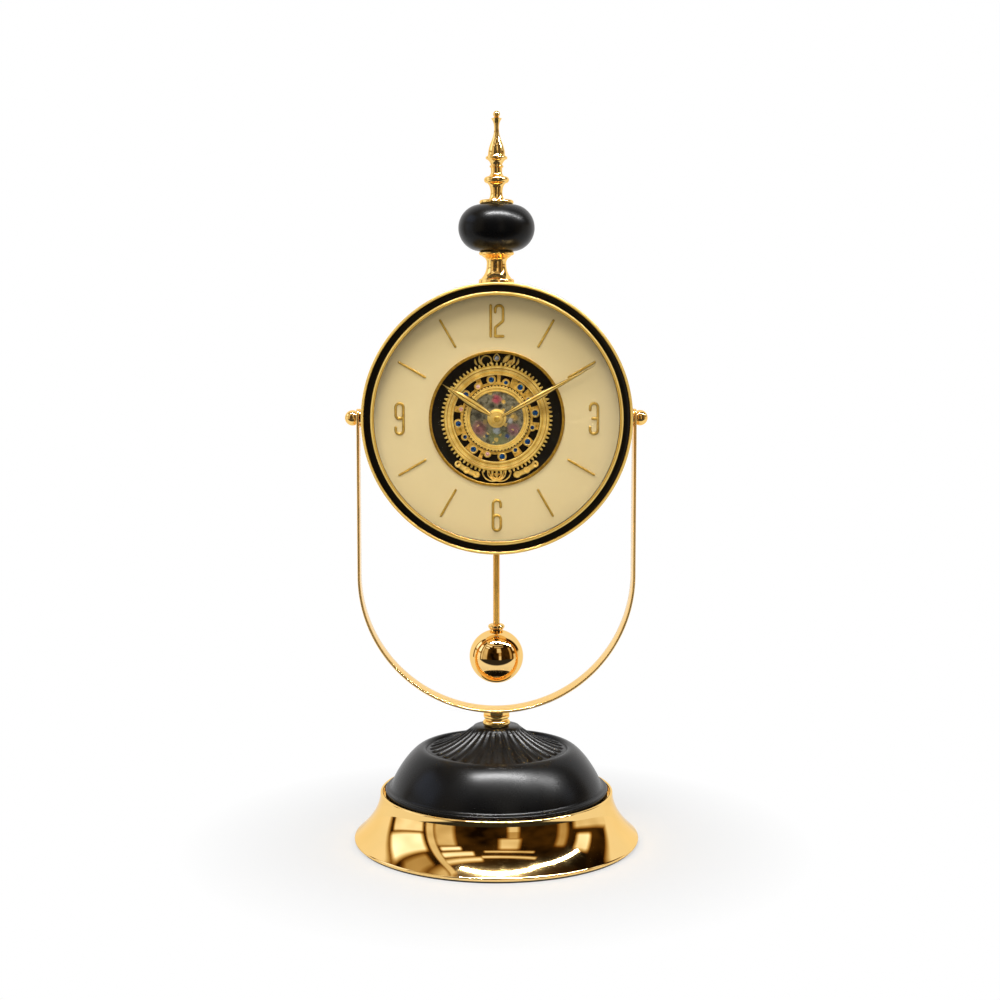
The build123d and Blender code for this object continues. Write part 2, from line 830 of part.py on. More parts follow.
# Bridge ring: a rail round the inner ring, arms out to the gear and a round lobe under each jewel
bridge_front = floor_front - bridge_height
jewel_turn = 360 / jewel_count
big_angles = [big_jewel_angle + jewel_turn * step for step in range(jewel_count)]
small_angles = [small_jewel_angle + jewel_turn * step for step in range(jewel_count)]
big_places = [clockwise(angle, big_jewel_circle) for angle in big_angles]
small_places = [clockwise(angle, small_jewel_circle) for angle in small_angles]
bridge_face = Sketch() + Circle(bridge_inner + bridge_rail)
for angle, span in zip(arm_angles, arm_spans):
    bridge_face += spoke(angle) * sector(bridge_inner, bridge_outer, -span / 2, span / 2)
bridge_face += [place * Circle(big_jewel_radius + jewel_rim + bridge_lobe) for place in big_places]
bridge_face += [place * Circle(small_jewel_radius + jewel_rim + bridge_lobe) for place in small_places]
bridge_face = bridge_face & Circle(bridge_outer)
bridge_ring = on_dial(bridge_face - Circle(bridge_inner), floor_front, bridge_front)

# Jewels in their settings
setting_front = bridge_front - setting_height
jewel_front = bridge_front - jewel_height
settings = Sketch()
big_setting = Circle(big_jewel_radius + jewel_rim) - Circle(big_jewel_radius)
small_setting = Circle(small_jewel_radius + jewel_rim) - Circle(small_jewel_radius)
settings += [place * big_setting for place in big_places]
settings += [place * small_setting for place in small_places]
jewel_settings = on_dial(settings, bridge_front, setting_front)
jewel_order = small_jewel_order.split()
jewel_hues = [jewel_order[step % len(jewel_order)] for step in range(jewel_count)]
pink_set = [place for place, hue in zip(small_places, jewel_hues) if hue == "pink"]
blue_set = [place for place, hue in zip(small_places, jewel_hues) if hue == "blue"]
blue_faces = [place * Circle(big_jewel_radius - fit_gap) for place in big_places]
blue_faces += [place * Circle(small_jewel_radius - fit_gap) for place in blue_set]
pink_faces = [place * Circle(small_jewel_radius - fit_gap) for place in pink_set]
blue_jewels = on_dial(Sketch() + blue_faces, bridge_front, jewel_front)
pink_jewels = on_dial(Sketch() + pink_faces, bridge_front, jewel_front)

# Centre disc
disc_front = floor_front - disc_height
centre_disc = ring_on_dial(bushing_radius + fit_gap, inner_bore - fit_gap, floor_front, disc_front)

# Scroll work on the well floor: teardrop, curl, leaf and plumes above, loops and lobed plates below
scroll_front = floor_front - scroll_height


def hoop(radius):
    return Circle(radius + scroll_stroke / 2) - Circle(radius - scroll_stroke / 2)


tangent_angle = math.acos(teardrop_radius / teardrop_point)
tangent_x = teardrop_radius * math.sin(tangent_angle)
tangent_y = teardrop_radius * math.cos(tangent_angle)
teardrop_tip = Polyline((0, teardrop_point), (-tangent_x, tangent_y), (tangent_x, tangent_y), close=True)
teardrop = Circle(teardrop_radius) + make_face(teardrop_tip) - Circle(stone_radius)
curl = stroke_arc((0, 0), curl_radius, curl_first_angle, curl_last_angle, scroll_stroke)
curl += Rot(0, 0, curl_first_angle) * Pos(curl_radius, 0) * Circle(curl_eye)
leaf_bow = (leaf_length**2 + leaf_width**2) / (4 * leaf_width)
leaf_offset = leaf_bow - leaf_width / 2
leaf = (Pos(0, leaf_offset) * Circle(leaf_bow)) & (Pos(0, -leaf_offset) * Circle(leaf_bow))
plume = stroke_arc((-plume_bend, 0), plume_bend, -plume_half_angle, plume_half_angle, plume_width)
plumes = Sketch() + [spoke(angle) * Pos(0, scroll_circle) * plume for angle in plume_angles]
top_work = Pos(0, scroll_circle) * teardrop
top_work += Pos(-curl_place, scroll_circle - curl_drop) * curl
top_work += Pos(leaf_place, scroll_circle) * Rot(0, 0, leaf_angle) * leaf
top_work += plumes + mirror(plumes, Plane.YZ)
top_scroll = on_dial(top_work, floor_front, scroll_front)
stone = Circle(stone_radius - fit_gap)
clear_stone = on_dial(Pos(0, scroll_circle) * stone, floor_front, scroll_front)
loop = stroke_arc((loop_place, loop_lift - scroll_circle), loop_radius, 180, 360, scroll_stroke)
link = Pos(link_place, link_lift - scroll_circle) * hoop(link_radius)
plate_inner = scroll_circle - foot_plate_width / 2
plate_outer = scroll_circle + foot_plate_width / 2
plate = sector(plate_inner, plate_outer, foot_plate_first_angle, foot_plate_last_angle)
plate += [clockwise(angle, scroll_circle) * Circle(foot_lobe_radius) for angle in foot_lobe_angles]
plate -= [clockwise(angle, scroll_circle) * Circle(foot_lobe_hole) for angle in foot_lobe_angles]
right_work = loop + link + spoke(180) * mirror(plate, Plane.YZ)
bottom_work = right_work + mirror(right_work, Plane.YZ)
bottom_scroll = on_dial(bottom_work, floor_front, scroll_front)

# Movement: two half cases round the battery bay and the pendulum bay
movement_tall = movement_above + movement_below
movement_middle = (movement_above - movement_below) / 2
movement_outline = Pos(0, movement_middle) * RectangleRounded(movement_width, movement_tall, movement_corner)
bay_front = floor_back + bay_floor
bay = Pos(0, cell_height) * Rectangle(bay_length, bay_tall)
bay_cut = on_dial(bay, movement_back, bay_front)
swing_front = pendulum_depth - pendulum_bay_depth / 2
swing_back = pendulum_depth + pendulum_bay_depth / 2
swing_top = pendulum_bay_head - pendulum_drop
swing_middle = (swing_top - 2 * movement_below) / 2
swing_room = Pos(0, swing_middle) * Rectangle(pendulum_bay_width, swing_top + 2 * movement_below)
swing_cut = on_dial(swing_room, swing_back, swing_front)
pin_front = swing_front - pin_bite
pin_back = swing_back + pin_bite
pin_hole = along_y(pin_radius + fit_gap, pin_front, pin_back, height=-pendulum_drop)
pocket_front = floor_back + pocket_floor
movement_front = on_dial(movement_outline, seam, floor_back) - bay_cut - swing_cut - pin_hole
movement_front -= along_y(wheel_pocket_radius, pocket_front, seam)
movement_front -= along_y(bushing_radius + fit_gap, floor_back, pocket_front)
movement_rear = on_dial(movement_outline, movement_back, seam) - bay_cut - swing_cut - pin_hole
movement_rear -= along_y(arbor_radius + run_gap, seam, movement_back)
pendulum_pin = along_y(pin_radius, pin_front, pin_back, height=-pendulum_drop)

# Bushing and its round nut
nut_front = disc_front - bushing_stand
bushing = along_y(bushing_radius, nut_front - bushing_stand, pocket_front)
bushing += along_y(bushing_flange_radius, pocket_front, pocket_front + bushing_flange)
bushing -= along_y(bushing_bore, nut_front - bushing_stand, pocket_front + bushing_flange)
bushing_nut = along_y(nut_radius, nut_front, disc_front)
bushing_nut += along_y(nut_step_radius, nut_front - nut_step_height, nut_front)
bushing_nut -= along_y(bushing_radius + fit_gap, nut_front - nut_step_height, disc_front)

# Battery and its two contact plates
cell_depth = bay_front + cell_radius + fit_gap
cell_left = -bay_length / 2 + contact_thickness + 2 * fit_gap
cell_right = cell_left + cell_length
battery_height = drum_height + cell_height
battery = along_x(cell_radius, cell_left, cell_right, battery_height, cell_depth)
battery += along_x(cell_nub_radius, cell_right, cell_right + cell_nub_length, battery_height, cell_depth)
contact = Pos(bay_length / 2 - contact_thickness / 2 - fit_gap, cell_depth, battery_height) * Box(
    contact_thickness, contact_size, contact_size
)
battery_contacts = both_sides(contact)

# Hour pipe, minute arbor and the setting knob on the arbor's back end
hour_back = ring_front - hour_hand_lift + hand_thickness
hour_front = hour_back - hand_thickness
minute_back = hour_front - hand_gap
minute_front = minute_back - hand_thickness
flange_front = pocket_front + bushing_flange + run_gap
flange_back = flange_front + pipe_flange
hour_pipe = along_y(pipe_radius, hour_front, flange_back)
hour_pipe += along_y(pipe_flange_radius, flange_front, flange_back)
hour_pipe -= along_y(pipe_bore, hour_front, flange_back)
knob_front = movement_back + run_gap
knob_back = knob_front + setting_thickness
minute_arbor = along_y(arbor_radius, minute_front, knob_back)
setting_outline = toothed_outline(setting_ribs, setting_radius - setting_rib, setting_radius)
setting_knob = on_dial(setting_outline - Circle(arbor_radius + fit_gap), knob_back, knob_front)


# Hands: a long diamond with a ridge down the middle
def diamond_hand(length, width, widest, hub, bore, angle, back):
    blade = Polyline(
        (-hand_root_width / 2, 0),
        (-width / 2, length * widest),
        (0, length),
        (width / 2, length * widest),
        (hand_root_width / 2, 0),
        close=True,
    )
    edge = hand_thickness - 2 * hand_edge_drop
    roof = Polyline(
        (-width, 0),
        (-width, edge),
        (0, hand_thickness),
        (width, edge),
        (width, 0),
        close=True,
    )
    ridge = extrude(Plane.XZ * make_face(roof), amount=-length)
    solid = extrude(make_face(blade), amount=hand_thickness) & ridge
    solid += extrude(Circle(hub), amount=hand_thickness)
    solid -= extrude(Circle(bore), amount=hand_thickness)
    return front_plane(back).location * spoke(angle) * solid


hour_hand = diamond_hand(
    hour_length, hour_width, hour_widest, hour_hub, pipe_radius + fit_gap, hour_angle, hour_back
)
minute_hand = diamond_hand(
    minute_length, minute_width, minute_widest, minute_hub, arbor_radius + fit_gap, minute_angle, minute_back
)
cap = Pen(0, minute_front)
cap.line(0, minute_front - cap_height)
cap.curve(
    (cap_radius * quarter_pull, minute_front - cap_height),
    (cap_radius, minute_front - cap_height * quarter_pull),
    (cap_radius, minute_front),
)
hand_cap = cap.turned_on_drum()

# Pendulum: hanger on the pin, rod, collar and ball
hanger_bottom = -movement_below - hanger_tail
hanger_front = pendulum_depth - hanger_thickness / 2
hanger_back = pendulum_depth + hanger_thickness / 2
strip_tall = -hanger_bottom - pendulum_drop
strip = Pos(0, (hanger_bottom - pendulum_drop) / 2) * Rectangle(hanger_width, strip_tall)
eye = Pos(0, -pendulum_drop) * Circle(hanger_eye)
pendulum_hanger = on_dial(strip + eye, hanger_back, hanger_front)
boss_bottom = drum_height + hanger_bottom
rod_place = Pos(0, pendulum_depth, 0)
pendulum_hanger += rod_place * upright(hanger_width / 2, boss_bottom - rod_socket, boss_bottom)
pendulum_hanger -= along_y(pin_radius + slide_gap, hanger_front, hanger_back, height=-pendulum_drop)
pendulum_hanger -= rod_place * upright(rod_radius + fit_gap, boss_bottom - rod_socket, boss_bottom - fit_gap)
bob_height = strap_bottom + strap_thickness + bob_gap + bob_radius
bob_top = bob_height + math.sqrt(bob_radius**2 - collar_neck_radius**2)
collar_seat = bob_top + collar_neck_height
collar_top_height = collar_seat + collar_height
bob_hole_bottom = bob_top - rod_socket
pendulum_rod = rod_place * upright(rod_radius, bob_hole_bottom, boss_bottom - fit_gap)
collar = Pen(rod_radius + fit_gap, bob_top)
collar.line(collar_neck_radius, bob_top)
collar.line(collar_neck_radius, collar_seat)
collar.arc(collar_neck_radius, collar_top_height, (collar_radius - collar_neck_radius) / collar_height)
collar.line(rod_radius + fit_gap, collar_top_height)
bob_collar = rod_place * collar.turned()
bob_place = Pos(0, pendulum_depth, bob_height)
pendulum_bob = bob_place * (Sphere(bob_radius) - Sphere(bob_radius - bob_wall))
pendulum_bob -= rod_place * upright(2 * bob_radius, bob_top, bob_top + bob_radius)
pendulum_bob -= rod_place * upright(rod_radius + fit_gap, bob_hole_bottom, bob_top)

# Rear cover with a window round the movement, and its screws
window_wide = movement_width + 2 * window_margin
window_tall = movement_tall + 2 * window_margin
cover_window = Pos(0, movement_middle) * RectangleRounded(window_wide, window_tall, window_corner)
cover_face = Circle(seat_radius) - cover_window - screw_holes
rear_cover = on_dial(cover_face, cover_back, cover_front)
screw_places = [clockwise(angle, screw_circle) for angle in screw_angles]
shanks = [place * Circle(screw_radius) for place in screw_places]
heads = [place * Circle(screw_head_radius) for place in screw_places]
rear_screws = on_dial(Sketch() + shanks, cover_back, rear_ledge_front)
rear_screws += on_dial(Sketch() + heads, cover_back + screw_head_height, cover_back)

# Finial: socket saddled on the drum, oblate ball, spire, and the stud and nut that hold them
drum_top = drum_height + drum_radius
finial_hole = finial_stud_radius + fit_gap
ball_bottom = drum_top + socket_height
ball_top = ball_bottom + finial_ball_height
head_bottom = ball_bottom - socket_head_height
foot_round = socket_foot_height / 2
head_round = socket_head_height / 2
socket = Pen(finial_hole, drum_top - socket_foot_height)
socket.line(socket_foot_radius, drum_top - socket_foot_height)
socket.line(socket_foot_radius, drum_top + foot_round)
socket.arc(socket_foot_radius - foot_round, drum_top + socket_foot_height, soft_bead)
socket.arc(socket_waist_radius, drum_top + socket_waist_height, cove / 2)
socket.arc(socket_neck_radius, drum_top + socket_neck_height, cove / 2)
socket.line(socket_head_radius - head_round, head_bottom)
socket.bead((socket_head_radius, head_bottom + head_round), (socket_head_radius - head_round, ball_bottom))
socket.line(finial_hole, ball_bottom)
finial_socket = socket.turned() - drum_solid
ball_middle = (ball_bottom + ball_top) / 2
ball_half = finial_ball_height / 2
side_pull = (finial_ball_radius - finial_ball_flat) * quarter_pull
rise_pull = ball_half * quarter_pull
knop = Pen(finial_hole, ball_bottom)
knop.line(finial_ball_flat, ball_bottom)
knop.curve(
    (finial_ball_flat + side_pull, ball_bottom),
    (finial_ball_radius, ball_middle - rise_pull),
    (finial_ball_radius, ball_middle),
)
knop.curve(
    (finial_ball_radius, ball_middle + rise_pull),
    (finial_ball_flat + side_pull, ball_top),
    (finial_ball_flat, ball_top),
)
knop.line(finial_hole, ball_top)
finial_ball = knop.turned()
stud_top = ball_top + finial_stud_bite
flange_top = ball_top + spire_flange_height
neck_height = flange_top + spire_neck_rise
knop_height = neck_height + spire_knop_rise
throat_height = knop_height + spire_throat_rise
ring_height = throat_height + spire_ring_rise
spire_collar_height = ring_height + spire_collar_rise
vase_height = spire_collar_height + spire_vase_rise
waist_height = vase_height + spire_waist_rise
crown_height = waist_height + spire_crown_rise
tip_bottom = crown_height + spire_tip_gap
tip_centre = tip_bottom + math.sqrt(spire_tip_radius**2 - spire_tip_neck**2)
flange_round = spire_flange_height / 2
ring_half = spire_ring_width / 2
knop_half = spire_knop_width / 2
edge_half = spire_collar_width / 2
spire = Pen(0, stud_top)
spire.line(finial_hole, stud_top)
spire.line(finial_hole, ball_top)
spire.line(spire_flange_radius - flange_round, ball_top)
spire.bead((spire_flange_radius, ball_top + flange_round), (spire_flange_radius - flange_round, flange_top))
spire.line(spire_foot_radius, flange_top)
spire.arc(spire_neck_radius, neck_height, cove / 2)
knop_edge = spire_knop_radius - knop_half
spire.arc(knop_edge, knop_height - knop_half, cove / 2)
spire.bead((spire_knop_radius, knop_height), (knop_edge, knop_height + knop_half))
spire.arc(spire_throat_radius, throat_height, cove)
spire.line(spire_throat_radius, ring_height - ring_half)
spire.bead((spire_ring_radius, ring_height), (spire_throat_radius, ring_height + ring_half))
collar_edge = spire_collar_radius - edge_half
spire.arc(collar_edge, spire_collar_height - edge_half, cove / 2)
spire.bead((spire_collar_radius, spire_collar_height), (collar_edge, spire_collar_height + edge_half))
spire.line(spire_vase_radius, vase_height)
spire.curve(
    (spire_vase_radius, vase_height + spire_waist_rise * vase_shoulder),
    (spire_waist_radius, waist_height - spire_waist_rise * vase_shoulder),
    (spire_waist_radius, waist_height),
)
spire.curve(
    (spire_waist_radius, waist_height + spire_crown_rise * vase_shoulder),
    (spire_waist_radius, crown_height - spire_crown_rise * vase_shoulder),
    (spire_crown_radius, crown_height),
)
spire.line(spire_tip_neck, tip_bottom)
spire.bead((spire_tip_radius, tip_centre), (0, tip_centre + spire_tip_radius))
finial_spire = spire.turned()
stud_foot = drum_top - case_wall - finial_nut_seat - finial_nut_height
finial_stud = upright(finial_stud_radius, stud_foot, stud_top)
finial_nut = hexagon_prism(finial_nut_across, stud_foot, drum_top)
finial_nut &= case_bore
finial_nut -= upright(finial_hole, stud_foot, drum_top)

pieces = {
    "base_pad": base_pad,
    "base_skirt": base_skirt,
    "base_dome": base_dome,
    "ballast_plate": ballast_plate,
    "tie_rod": tie_rod,
    "tie_washer": tie_washer,
    "tie_nut": tie_nut,
    "ferrule": ferrule_piece,
    "yoke_strap": yoke_strap,
    "drum_case": drum_case,
    "pivot_studs": pivot_studs,
    "pivot_washers": pivot_washers,
    "pivot_knobs": pivot_knobs,
    "bezel_ring_black": bezel_ring_black,
    "bezel_ring_gold": bezel_ring_gold,
    "glass": glass,
    "dial_spacer": dial_spacer,
    "dial_plate": dial_plate,
    "aperture_ring": aperture_ring,
    "hour_bars": hour_bars,
    "hour_numerals": hour_numerals,
    "movement_well": movement_well,
    "ring_gear": ring_gear,
    "gear_pillars": gear_pillars,
    "inner_ring": inner_ring,
    "bridge_ring": bridge_ring,
    "jewel_settings": jewel_settings,
    "blue_jewels": blue_jewels,
    "pink_jewels": pink_jewels,
    "centre_disc": centre_disc,
    "top_scroll": top_scroll,
    "clear_stone": clear_stone,
    "bottom_scroll": bottom_scroll,
    "movement_front": movement_front,
    "movement_rear": movement_rear,
    "bushing": bushing,
    "bushing_nut": bushing_nut,
    "battery": battery,
    "battery_contacts": battery_contacts,
    "pendulum_pin": pendulum_pin,
    "hour_pipe": hour_pipe,
    "hour_hand": hour_hand,
    "minute_arbor": minute_arbor,
    "minute_hand": minute_hand,
    "hand_cap": hand_cap,
    "setting_knob": setting_knob,
    "pendulum_hanger": pendulum_hanger,
    "pendulum_rod": pendulum_rod,
    "bob_collar": bob_collar,
    "pendulum_bob": pendulum_bob,
    "rear_cover": rear_cover,
    "rear_screws": rear_screws,
    "finial_socket": finial_socket,
    "finial_ball": finial_ball,
    "finial_spire": finial_spire,
    "finial_stud": finial_stud,
    "finial_nut": finial_nut,
}

os.makedirs("parts", exist_ok=True)
for name, piece in pieces.items():
    export_step(piece, "parts/" + name + ".step")
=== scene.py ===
import json
import math

import bmesh
import bpy
import numpy as np
from mathutils import Matrix, Vector


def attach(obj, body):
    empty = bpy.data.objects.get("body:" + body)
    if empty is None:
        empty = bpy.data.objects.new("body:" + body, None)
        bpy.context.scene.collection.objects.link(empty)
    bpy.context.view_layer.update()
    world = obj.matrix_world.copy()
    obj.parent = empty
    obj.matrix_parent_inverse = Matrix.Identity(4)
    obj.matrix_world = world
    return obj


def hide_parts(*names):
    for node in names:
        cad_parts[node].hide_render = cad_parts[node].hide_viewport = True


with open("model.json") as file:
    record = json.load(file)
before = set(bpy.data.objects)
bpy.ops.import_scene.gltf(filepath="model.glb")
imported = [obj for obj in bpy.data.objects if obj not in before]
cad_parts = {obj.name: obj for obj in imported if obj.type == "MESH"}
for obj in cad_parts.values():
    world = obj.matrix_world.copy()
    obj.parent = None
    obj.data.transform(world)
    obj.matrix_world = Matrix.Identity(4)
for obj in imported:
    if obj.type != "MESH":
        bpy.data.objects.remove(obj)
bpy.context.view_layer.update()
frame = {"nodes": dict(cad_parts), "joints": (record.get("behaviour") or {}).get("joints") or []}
mm = 0.001  # sizes of the clock are in millimetres, those of the floor and lamps in metres
drumHeight = next(j["pos_m"][2] for j in frame["joints"] if j["name"] == "drum_tilt") / mm
swingPlace = next(j["pos_m"] for j in frame["joints"] if j["name"] == "pendulum_swing")
print("frame:", len(frame["nodes"]), "nodes, drum axis at", drumHeight)


class Sizes(dict):  # what a user would change on one piece, read as s.radius
    __getattr__ = dict.__getitem__


class Value:  # one socket of a finish, so that shader maths reads as arithmetic
    def __init__(self, finish, socket):
        self.finish = finish
        self.socket = socket

    def maths(self, operation, first, second=0.0):
        return self.finish.add("ShaderNodeMath", {"operation": operation}, {0: first, 1: second})

    def most(self, other):
        return self.maths("MAXIMUM", self, other)

    def __add__(self, other):
        return self.maths("ADD", self, other)

    def __sub__(self, other):
        return self.maths("SUBTRACT", self, other)

    def __rsub__(self, other):
        return self.maths("SUBTRACT", other, self)

    def __mul__(self, other):
        return self.maths("MULTIPLY", self, other)

    def __pow__(self, other):
        return self.maths("POWER", self, other)

    def __gt__(self, other):
        return self.maths("GREATER_THAN", self, other)

    __radd__ = __add__
    __rmul__ = __mul__


class Finish:  # a material, or the world, while its nodes are put together
    def __init__(self, owner):
        owner.use_nodes = True
        self.owner = owner
        self.tree = owner.node_tree
        self.tree.nodes.clear()

    def add(self, kind, settings=None, sockets=None, out=0):  # settings first, then sockets
        node = self.tree.nodes.new(kind)
        for key, value in (settings or {}).items():
            if key == "stops":
                self.setStops(node.color_ramp, value)
            else:
                setattr(node, key, value)
        for key, value in (sockets or {}).items():
            socket = node.inputs[key]
            if isinstance(value, Value):
                self.tree.links.new(value.socket, socket)
            else:
                socket.default_value = (*value, 1.0) if socket.type == "RGBA" else value
        return Value(self, node.outputs[out]) if len(node.outputs) else None

    def setStops(self, ramp, stops):
        for place, _ in stops[2:]:  # a ramp starts with two stops
            ramp.elements.new(place)
        for element, (place, shade) in zip(ramp.elements, stops):
            element.position = place
            element.color = (*shade, 1.0)

    def spot(self):
        return self.add("ShaderNodeTexCoord", out="Object")

    def part(self, where, axis):
        return self.add("ShaderNodeSeparateXYZ", None, {"Vector": where}, axis)

    def ray(self, kind):  # 1 for rays of this kind, otherwise 0
        return self.add("ShaderNodeLightPath", out="Is %s Ray" % kind)

    def noise(self, where, scale, detail=2.0, rough=0.5):
        return self.add("ShaderNodeTexNoise", None, {
            "Vector": where, "Scale": scale, "Detail": detail, "Roughness": rough})

    def cells(self, where, scale):  # one level for each cell
        shades = self.add("ShaderNodeTexVoronoi", None, {"Vector": where, "Scale": scale}, "Color")
        return self.add("ShaderNodeSeparateColor", None, {"Color": shades})

    def stretched(self, where, scale):
        return self.add("ShaderNodeMapping", None, {"Vector": where, "Scale": scale})

    def blend(self, share, first, second, mode="MIX"):
        return self.add("ShaderNodeMix", {"data_type": "RGBA", "blend_type": mode}, {
            0: share, 6: first, 7: second}, 2)

    def clamp(self, value, low, high):  # 0 at low, 1 at high, straight between
        return self.add("ShaderNodeMapRange", {"clamp": True}, {
            "Value": value, "From Min": low, "From Max": high})

    def bump(self, height, strength, depth):  # depth in millimetres
        return self.add("ShaderNodeBump", None, {
            "Height": height, "Strength": strength, "Distance": depth * mm})

    def surface(self, shader):
        self.add("ShaderNodeOutputMaterial", None, {"Surface": shader})
        return self.owner

    def close(self, sockets):
        return self.surface(self.add("ShaderNodeBsdfPrincipled", None, sockets))

    def closeMixed(self, share, first, second):
        return self.surface(self.add("ShaderNodeMixShader", None, {0: share, 1: first, 2: second}))


def newFinish(name):
    return Finish(bpy.data.materials.new(name))


def grey(level):
    return (level, level, level)


polish = Sizes(
    tint=(0.95, 0.66, 0.27), deep=(0.9, 0.6, 0.22), edge=(1.0, 0.86, 0.6), metal=1.0, rough=0.03,
    hazeSpread=0.02, roughSpread=0.04, ripple=0.012)


def polishedGold(name, s=polish):
    # Mirror gold plate: two close tints in broad clouds, a roughness
    # that drifts, and a faint ripple from the polishing wheel.
    finish = newFinish(name)
    spot = finish.spot()
    cloud = finish.noise(spot, scale=26.0, detail=3.0)
    haze = finish.noise(spot, scale=900.0)
    wear = finish.clamp(finish.noise(spot, scale=140.0, detail=5.0, rough=0.7), 0.52, 0.78)
    return finish.close({
        "Base Color": finish.blend(finish.clamp(cloud, 0.3, 0.72), s.tint, s.deep),
        "Metallic": s.metal,
        "Specular Tint": s.edge,
        "Roughness": s.rough + haze * s.hazeSpread + wear * s.roughSpread,
        "Normal": finish.bump(cloud, s.ripple, depth=0.6),
    })


goldTones = dict(
    pale=(1.0, 0.72, 0.22), bright=(0.97, 0.62, 0.13), warm=(0.93, 0.54, 0.095),
    deep=(0.64, 0.34, 0.04), brown=(0.36, 0.18, 0.018), groove=(0.07, 0.03, 0.003))
gearBands = (  # radius on the drum and its tone; pale tones paint highlights, dark ones paint shade
    (26.4, "brown"), (26.7, "pale"), (27.5, "bright"), (27.9, "deep"), (28.4, "bright"),
    (29.6, "pale"), (30.2, "warm"), (30.5, "brown"), (30.8, "pale"), (31.7, "bright"),
    (32.2, "brown"), (32.6, "bright"), (34.2, "pale"))
# these tables too paint highlight lines in pale tones and shade lines in dark ones
bezelBands = (
    (75.0, "groove"), (75.25, "deep"), (75.7, "bright"), (75.9, "groove"), (76.1, "warm"),
    (76.5, "pale"), (76.9, "pale"), (77.2, "deep"))
caseBands = (
    (81.15, "groove"), (81.4, "brown"), (81.7, "bright"), (82.2, "pale"), (82.7, "bright"),
    (83.0, "warm"))
innerBands = (
    (16.2, "deep"), (16.5, "pale"), (17.0, "bright"), (17.3, "warm"), (17.9, "pale"),
    (18.2, "deep"), (18.5, "bright"), (19.0, "pale"), (19.3, "warm"), (20.2, "pale"))
# strengths of the lathe lines and of the painted sheen sectors, and the polished edge
latheWork = Sizes(
    tint=0.3, rough=0.14, bump=0.35, sector=0.56, cloud=0.05, polishing=0.6, edge=(-0.15, 0.1))


def ringBrushedGold(name, bands, rough, metal, wear=1.0, lines=2600.0, polished=99.0, s=latheWork):
    # Turned gold: the distance from the drum's axis picks a colour from the
    # bands, pale ones painted highlights and dark ones painted shade, and drives
    # fine lathe lines in colour, roughness and bump, over painted sheen: darker
    # sectors that follow the bearing about the axis. Beyond the polished radius
    # it is plain mirror gold.
    finish = newFinish(name)
    spot = finish.spot()
    flat = finish.add("ShaderNodeMapping", None, {
        "Vector": spot, "Location": (0.0, 0.0, -drumHeight * mm), "Scale": (1.0, 0.0, 1.0)})
    radius = finish.add("ShaderNodeVectorMath", {"operation": "LENGTH"}, {0: flat}, "Value")
    bearing = finish.add("ShaderNodeVectorMath", {"operation": "NORMALIZE"}, {0: flat}, "Vector")
    lathe = finish.add("ShaderNodeTexNoise", {"noise_dimensions": "1D"}, {
        "W": radius, "Scale": lines, "Detail": 3.0})
    cloud = finish.noise(spot, scale=90.0, detail=4.0)
    # painted sheen: darker and lighter sectors by bearing, standing in for light on turned metal
    sector = finish.clamp(finish.noise(bearing, scale=3.2, detail=3.0), 0.4, 0.64)
    low, high = bands[0][0], bands[-1][0]
    stops = [((place - low) / (high - low), goldTones[tone]) for place, tone in bands]
    place = finish.clamp(radius, low * mm, high * mm)
    shade = finish.add("ShaderNodeValToRGB", {"stops": stops}, {"Fac": place}, "Color")
    side = finish.clamp(radius, *((polished + edge) * mm for edge in s.edge))
    # the lathe lines and the painted sheen sectors, scaled together, darken the face towards brown
    face = finish.blend((lathe * s.tint + sector * s.sector) * wear, shade, goldTones["brown"])
    return finish.close({
        "Base Color": finish.blend(side, face, polish.tint),
        "Metallic": metal + side * (1 - metal),
        "Roughness": rough + lathe * s.rough + cloud * s.cloud - side * (rough * s.polishing),
        "Normal": finish.bump(lathe, s.bump, depth=0.2),
    })


def cutGold(name, tones, rough, metal, foot, crown):
    # Stamped gold trim: painted shade, dark at its foot and fading out towards the crown, by the
    # depth along the drum's axis, over small mottling, and the roughness follows the mottling.
    finish = newFinish(name)
    spot = finish.spot()
    clean = finish.clamp(finish.part(spot, "Y") * -1.0, -foot * mm, -crown * mm)
    cloud = finish.noise(spot, scale=420.0, detail=4.0, rough=0.6)
    grain = finish.noise(finish.stretched(spot, (900.0, 900.0, 5000.0)), scale=1.0)
    # the first tone is the painted shade at the foot
    dark, deep, bright = (goldTones[tone] for tone in tones)
    mottled = finish.blend(finish.clamp(cloud, 0.3, 0.7), deep, bright)
    return finish.close({
        "Base Color": finish.blend(clean, dark, mottled),
        "Metallic": metal,
        "Roughness": rough + cloud * 0.1 + grain * 0.04,
        "Normal": finish.bump(grain, strength=0.05, depth=0.1),
    })


def lacquer(name, shade, dust, rough, peel, shine):
    # Sprayed lacquer: fine orange peel in the bump, soft
    # clouds in the gloss, and pale dust in the smallest noise.
    finish = newFinish(name)
    spot = finish.spot()
    skin = finish.noise(spot, scale=1500.0)
    cloud = finish.noise(spot, scale=45.0, detail=4.0)
    speck = finish.clamp(finish.noise(spot, scale=2600.0, detail=1.0), 0.76, 0.84)
    return finish.close({
        "Base Color": finish.blend(speck * 0.35 + cloud * 0.2, shade, dust),
        "Roughness": rough + (cloud - 0.5) * 0.12 + skin * 0.05,
        "Specular IOR Level": shine,
        "Normal": finish.bump(skin, peel, depth=0.25),
    })


def champagneSatin(name, tint, deep):
    # Satin dial sheet: level brush lines, long across and very fine up the dial, over slow clouds.
    finish = newFinish(name)
    spot = finish.spot()
    lines = finish.noise(finish.stretched(spot, (60.0, 60.0, 5200.0)), scale=1.0, detail=3.0)
    cloud = finish.noise(spot, scale=14.0, detail=3.0)
    return finish.close({
        "Base Color": finish.blend(lines * 0.5 + cloud * 0.5, deep, tint),
        "Metallic": 0.35,
        "Roughness": 0.4 + lines * 0.12,
        "Normal": finish.bump(lines, strength=0.05, depth=0.08),
    })


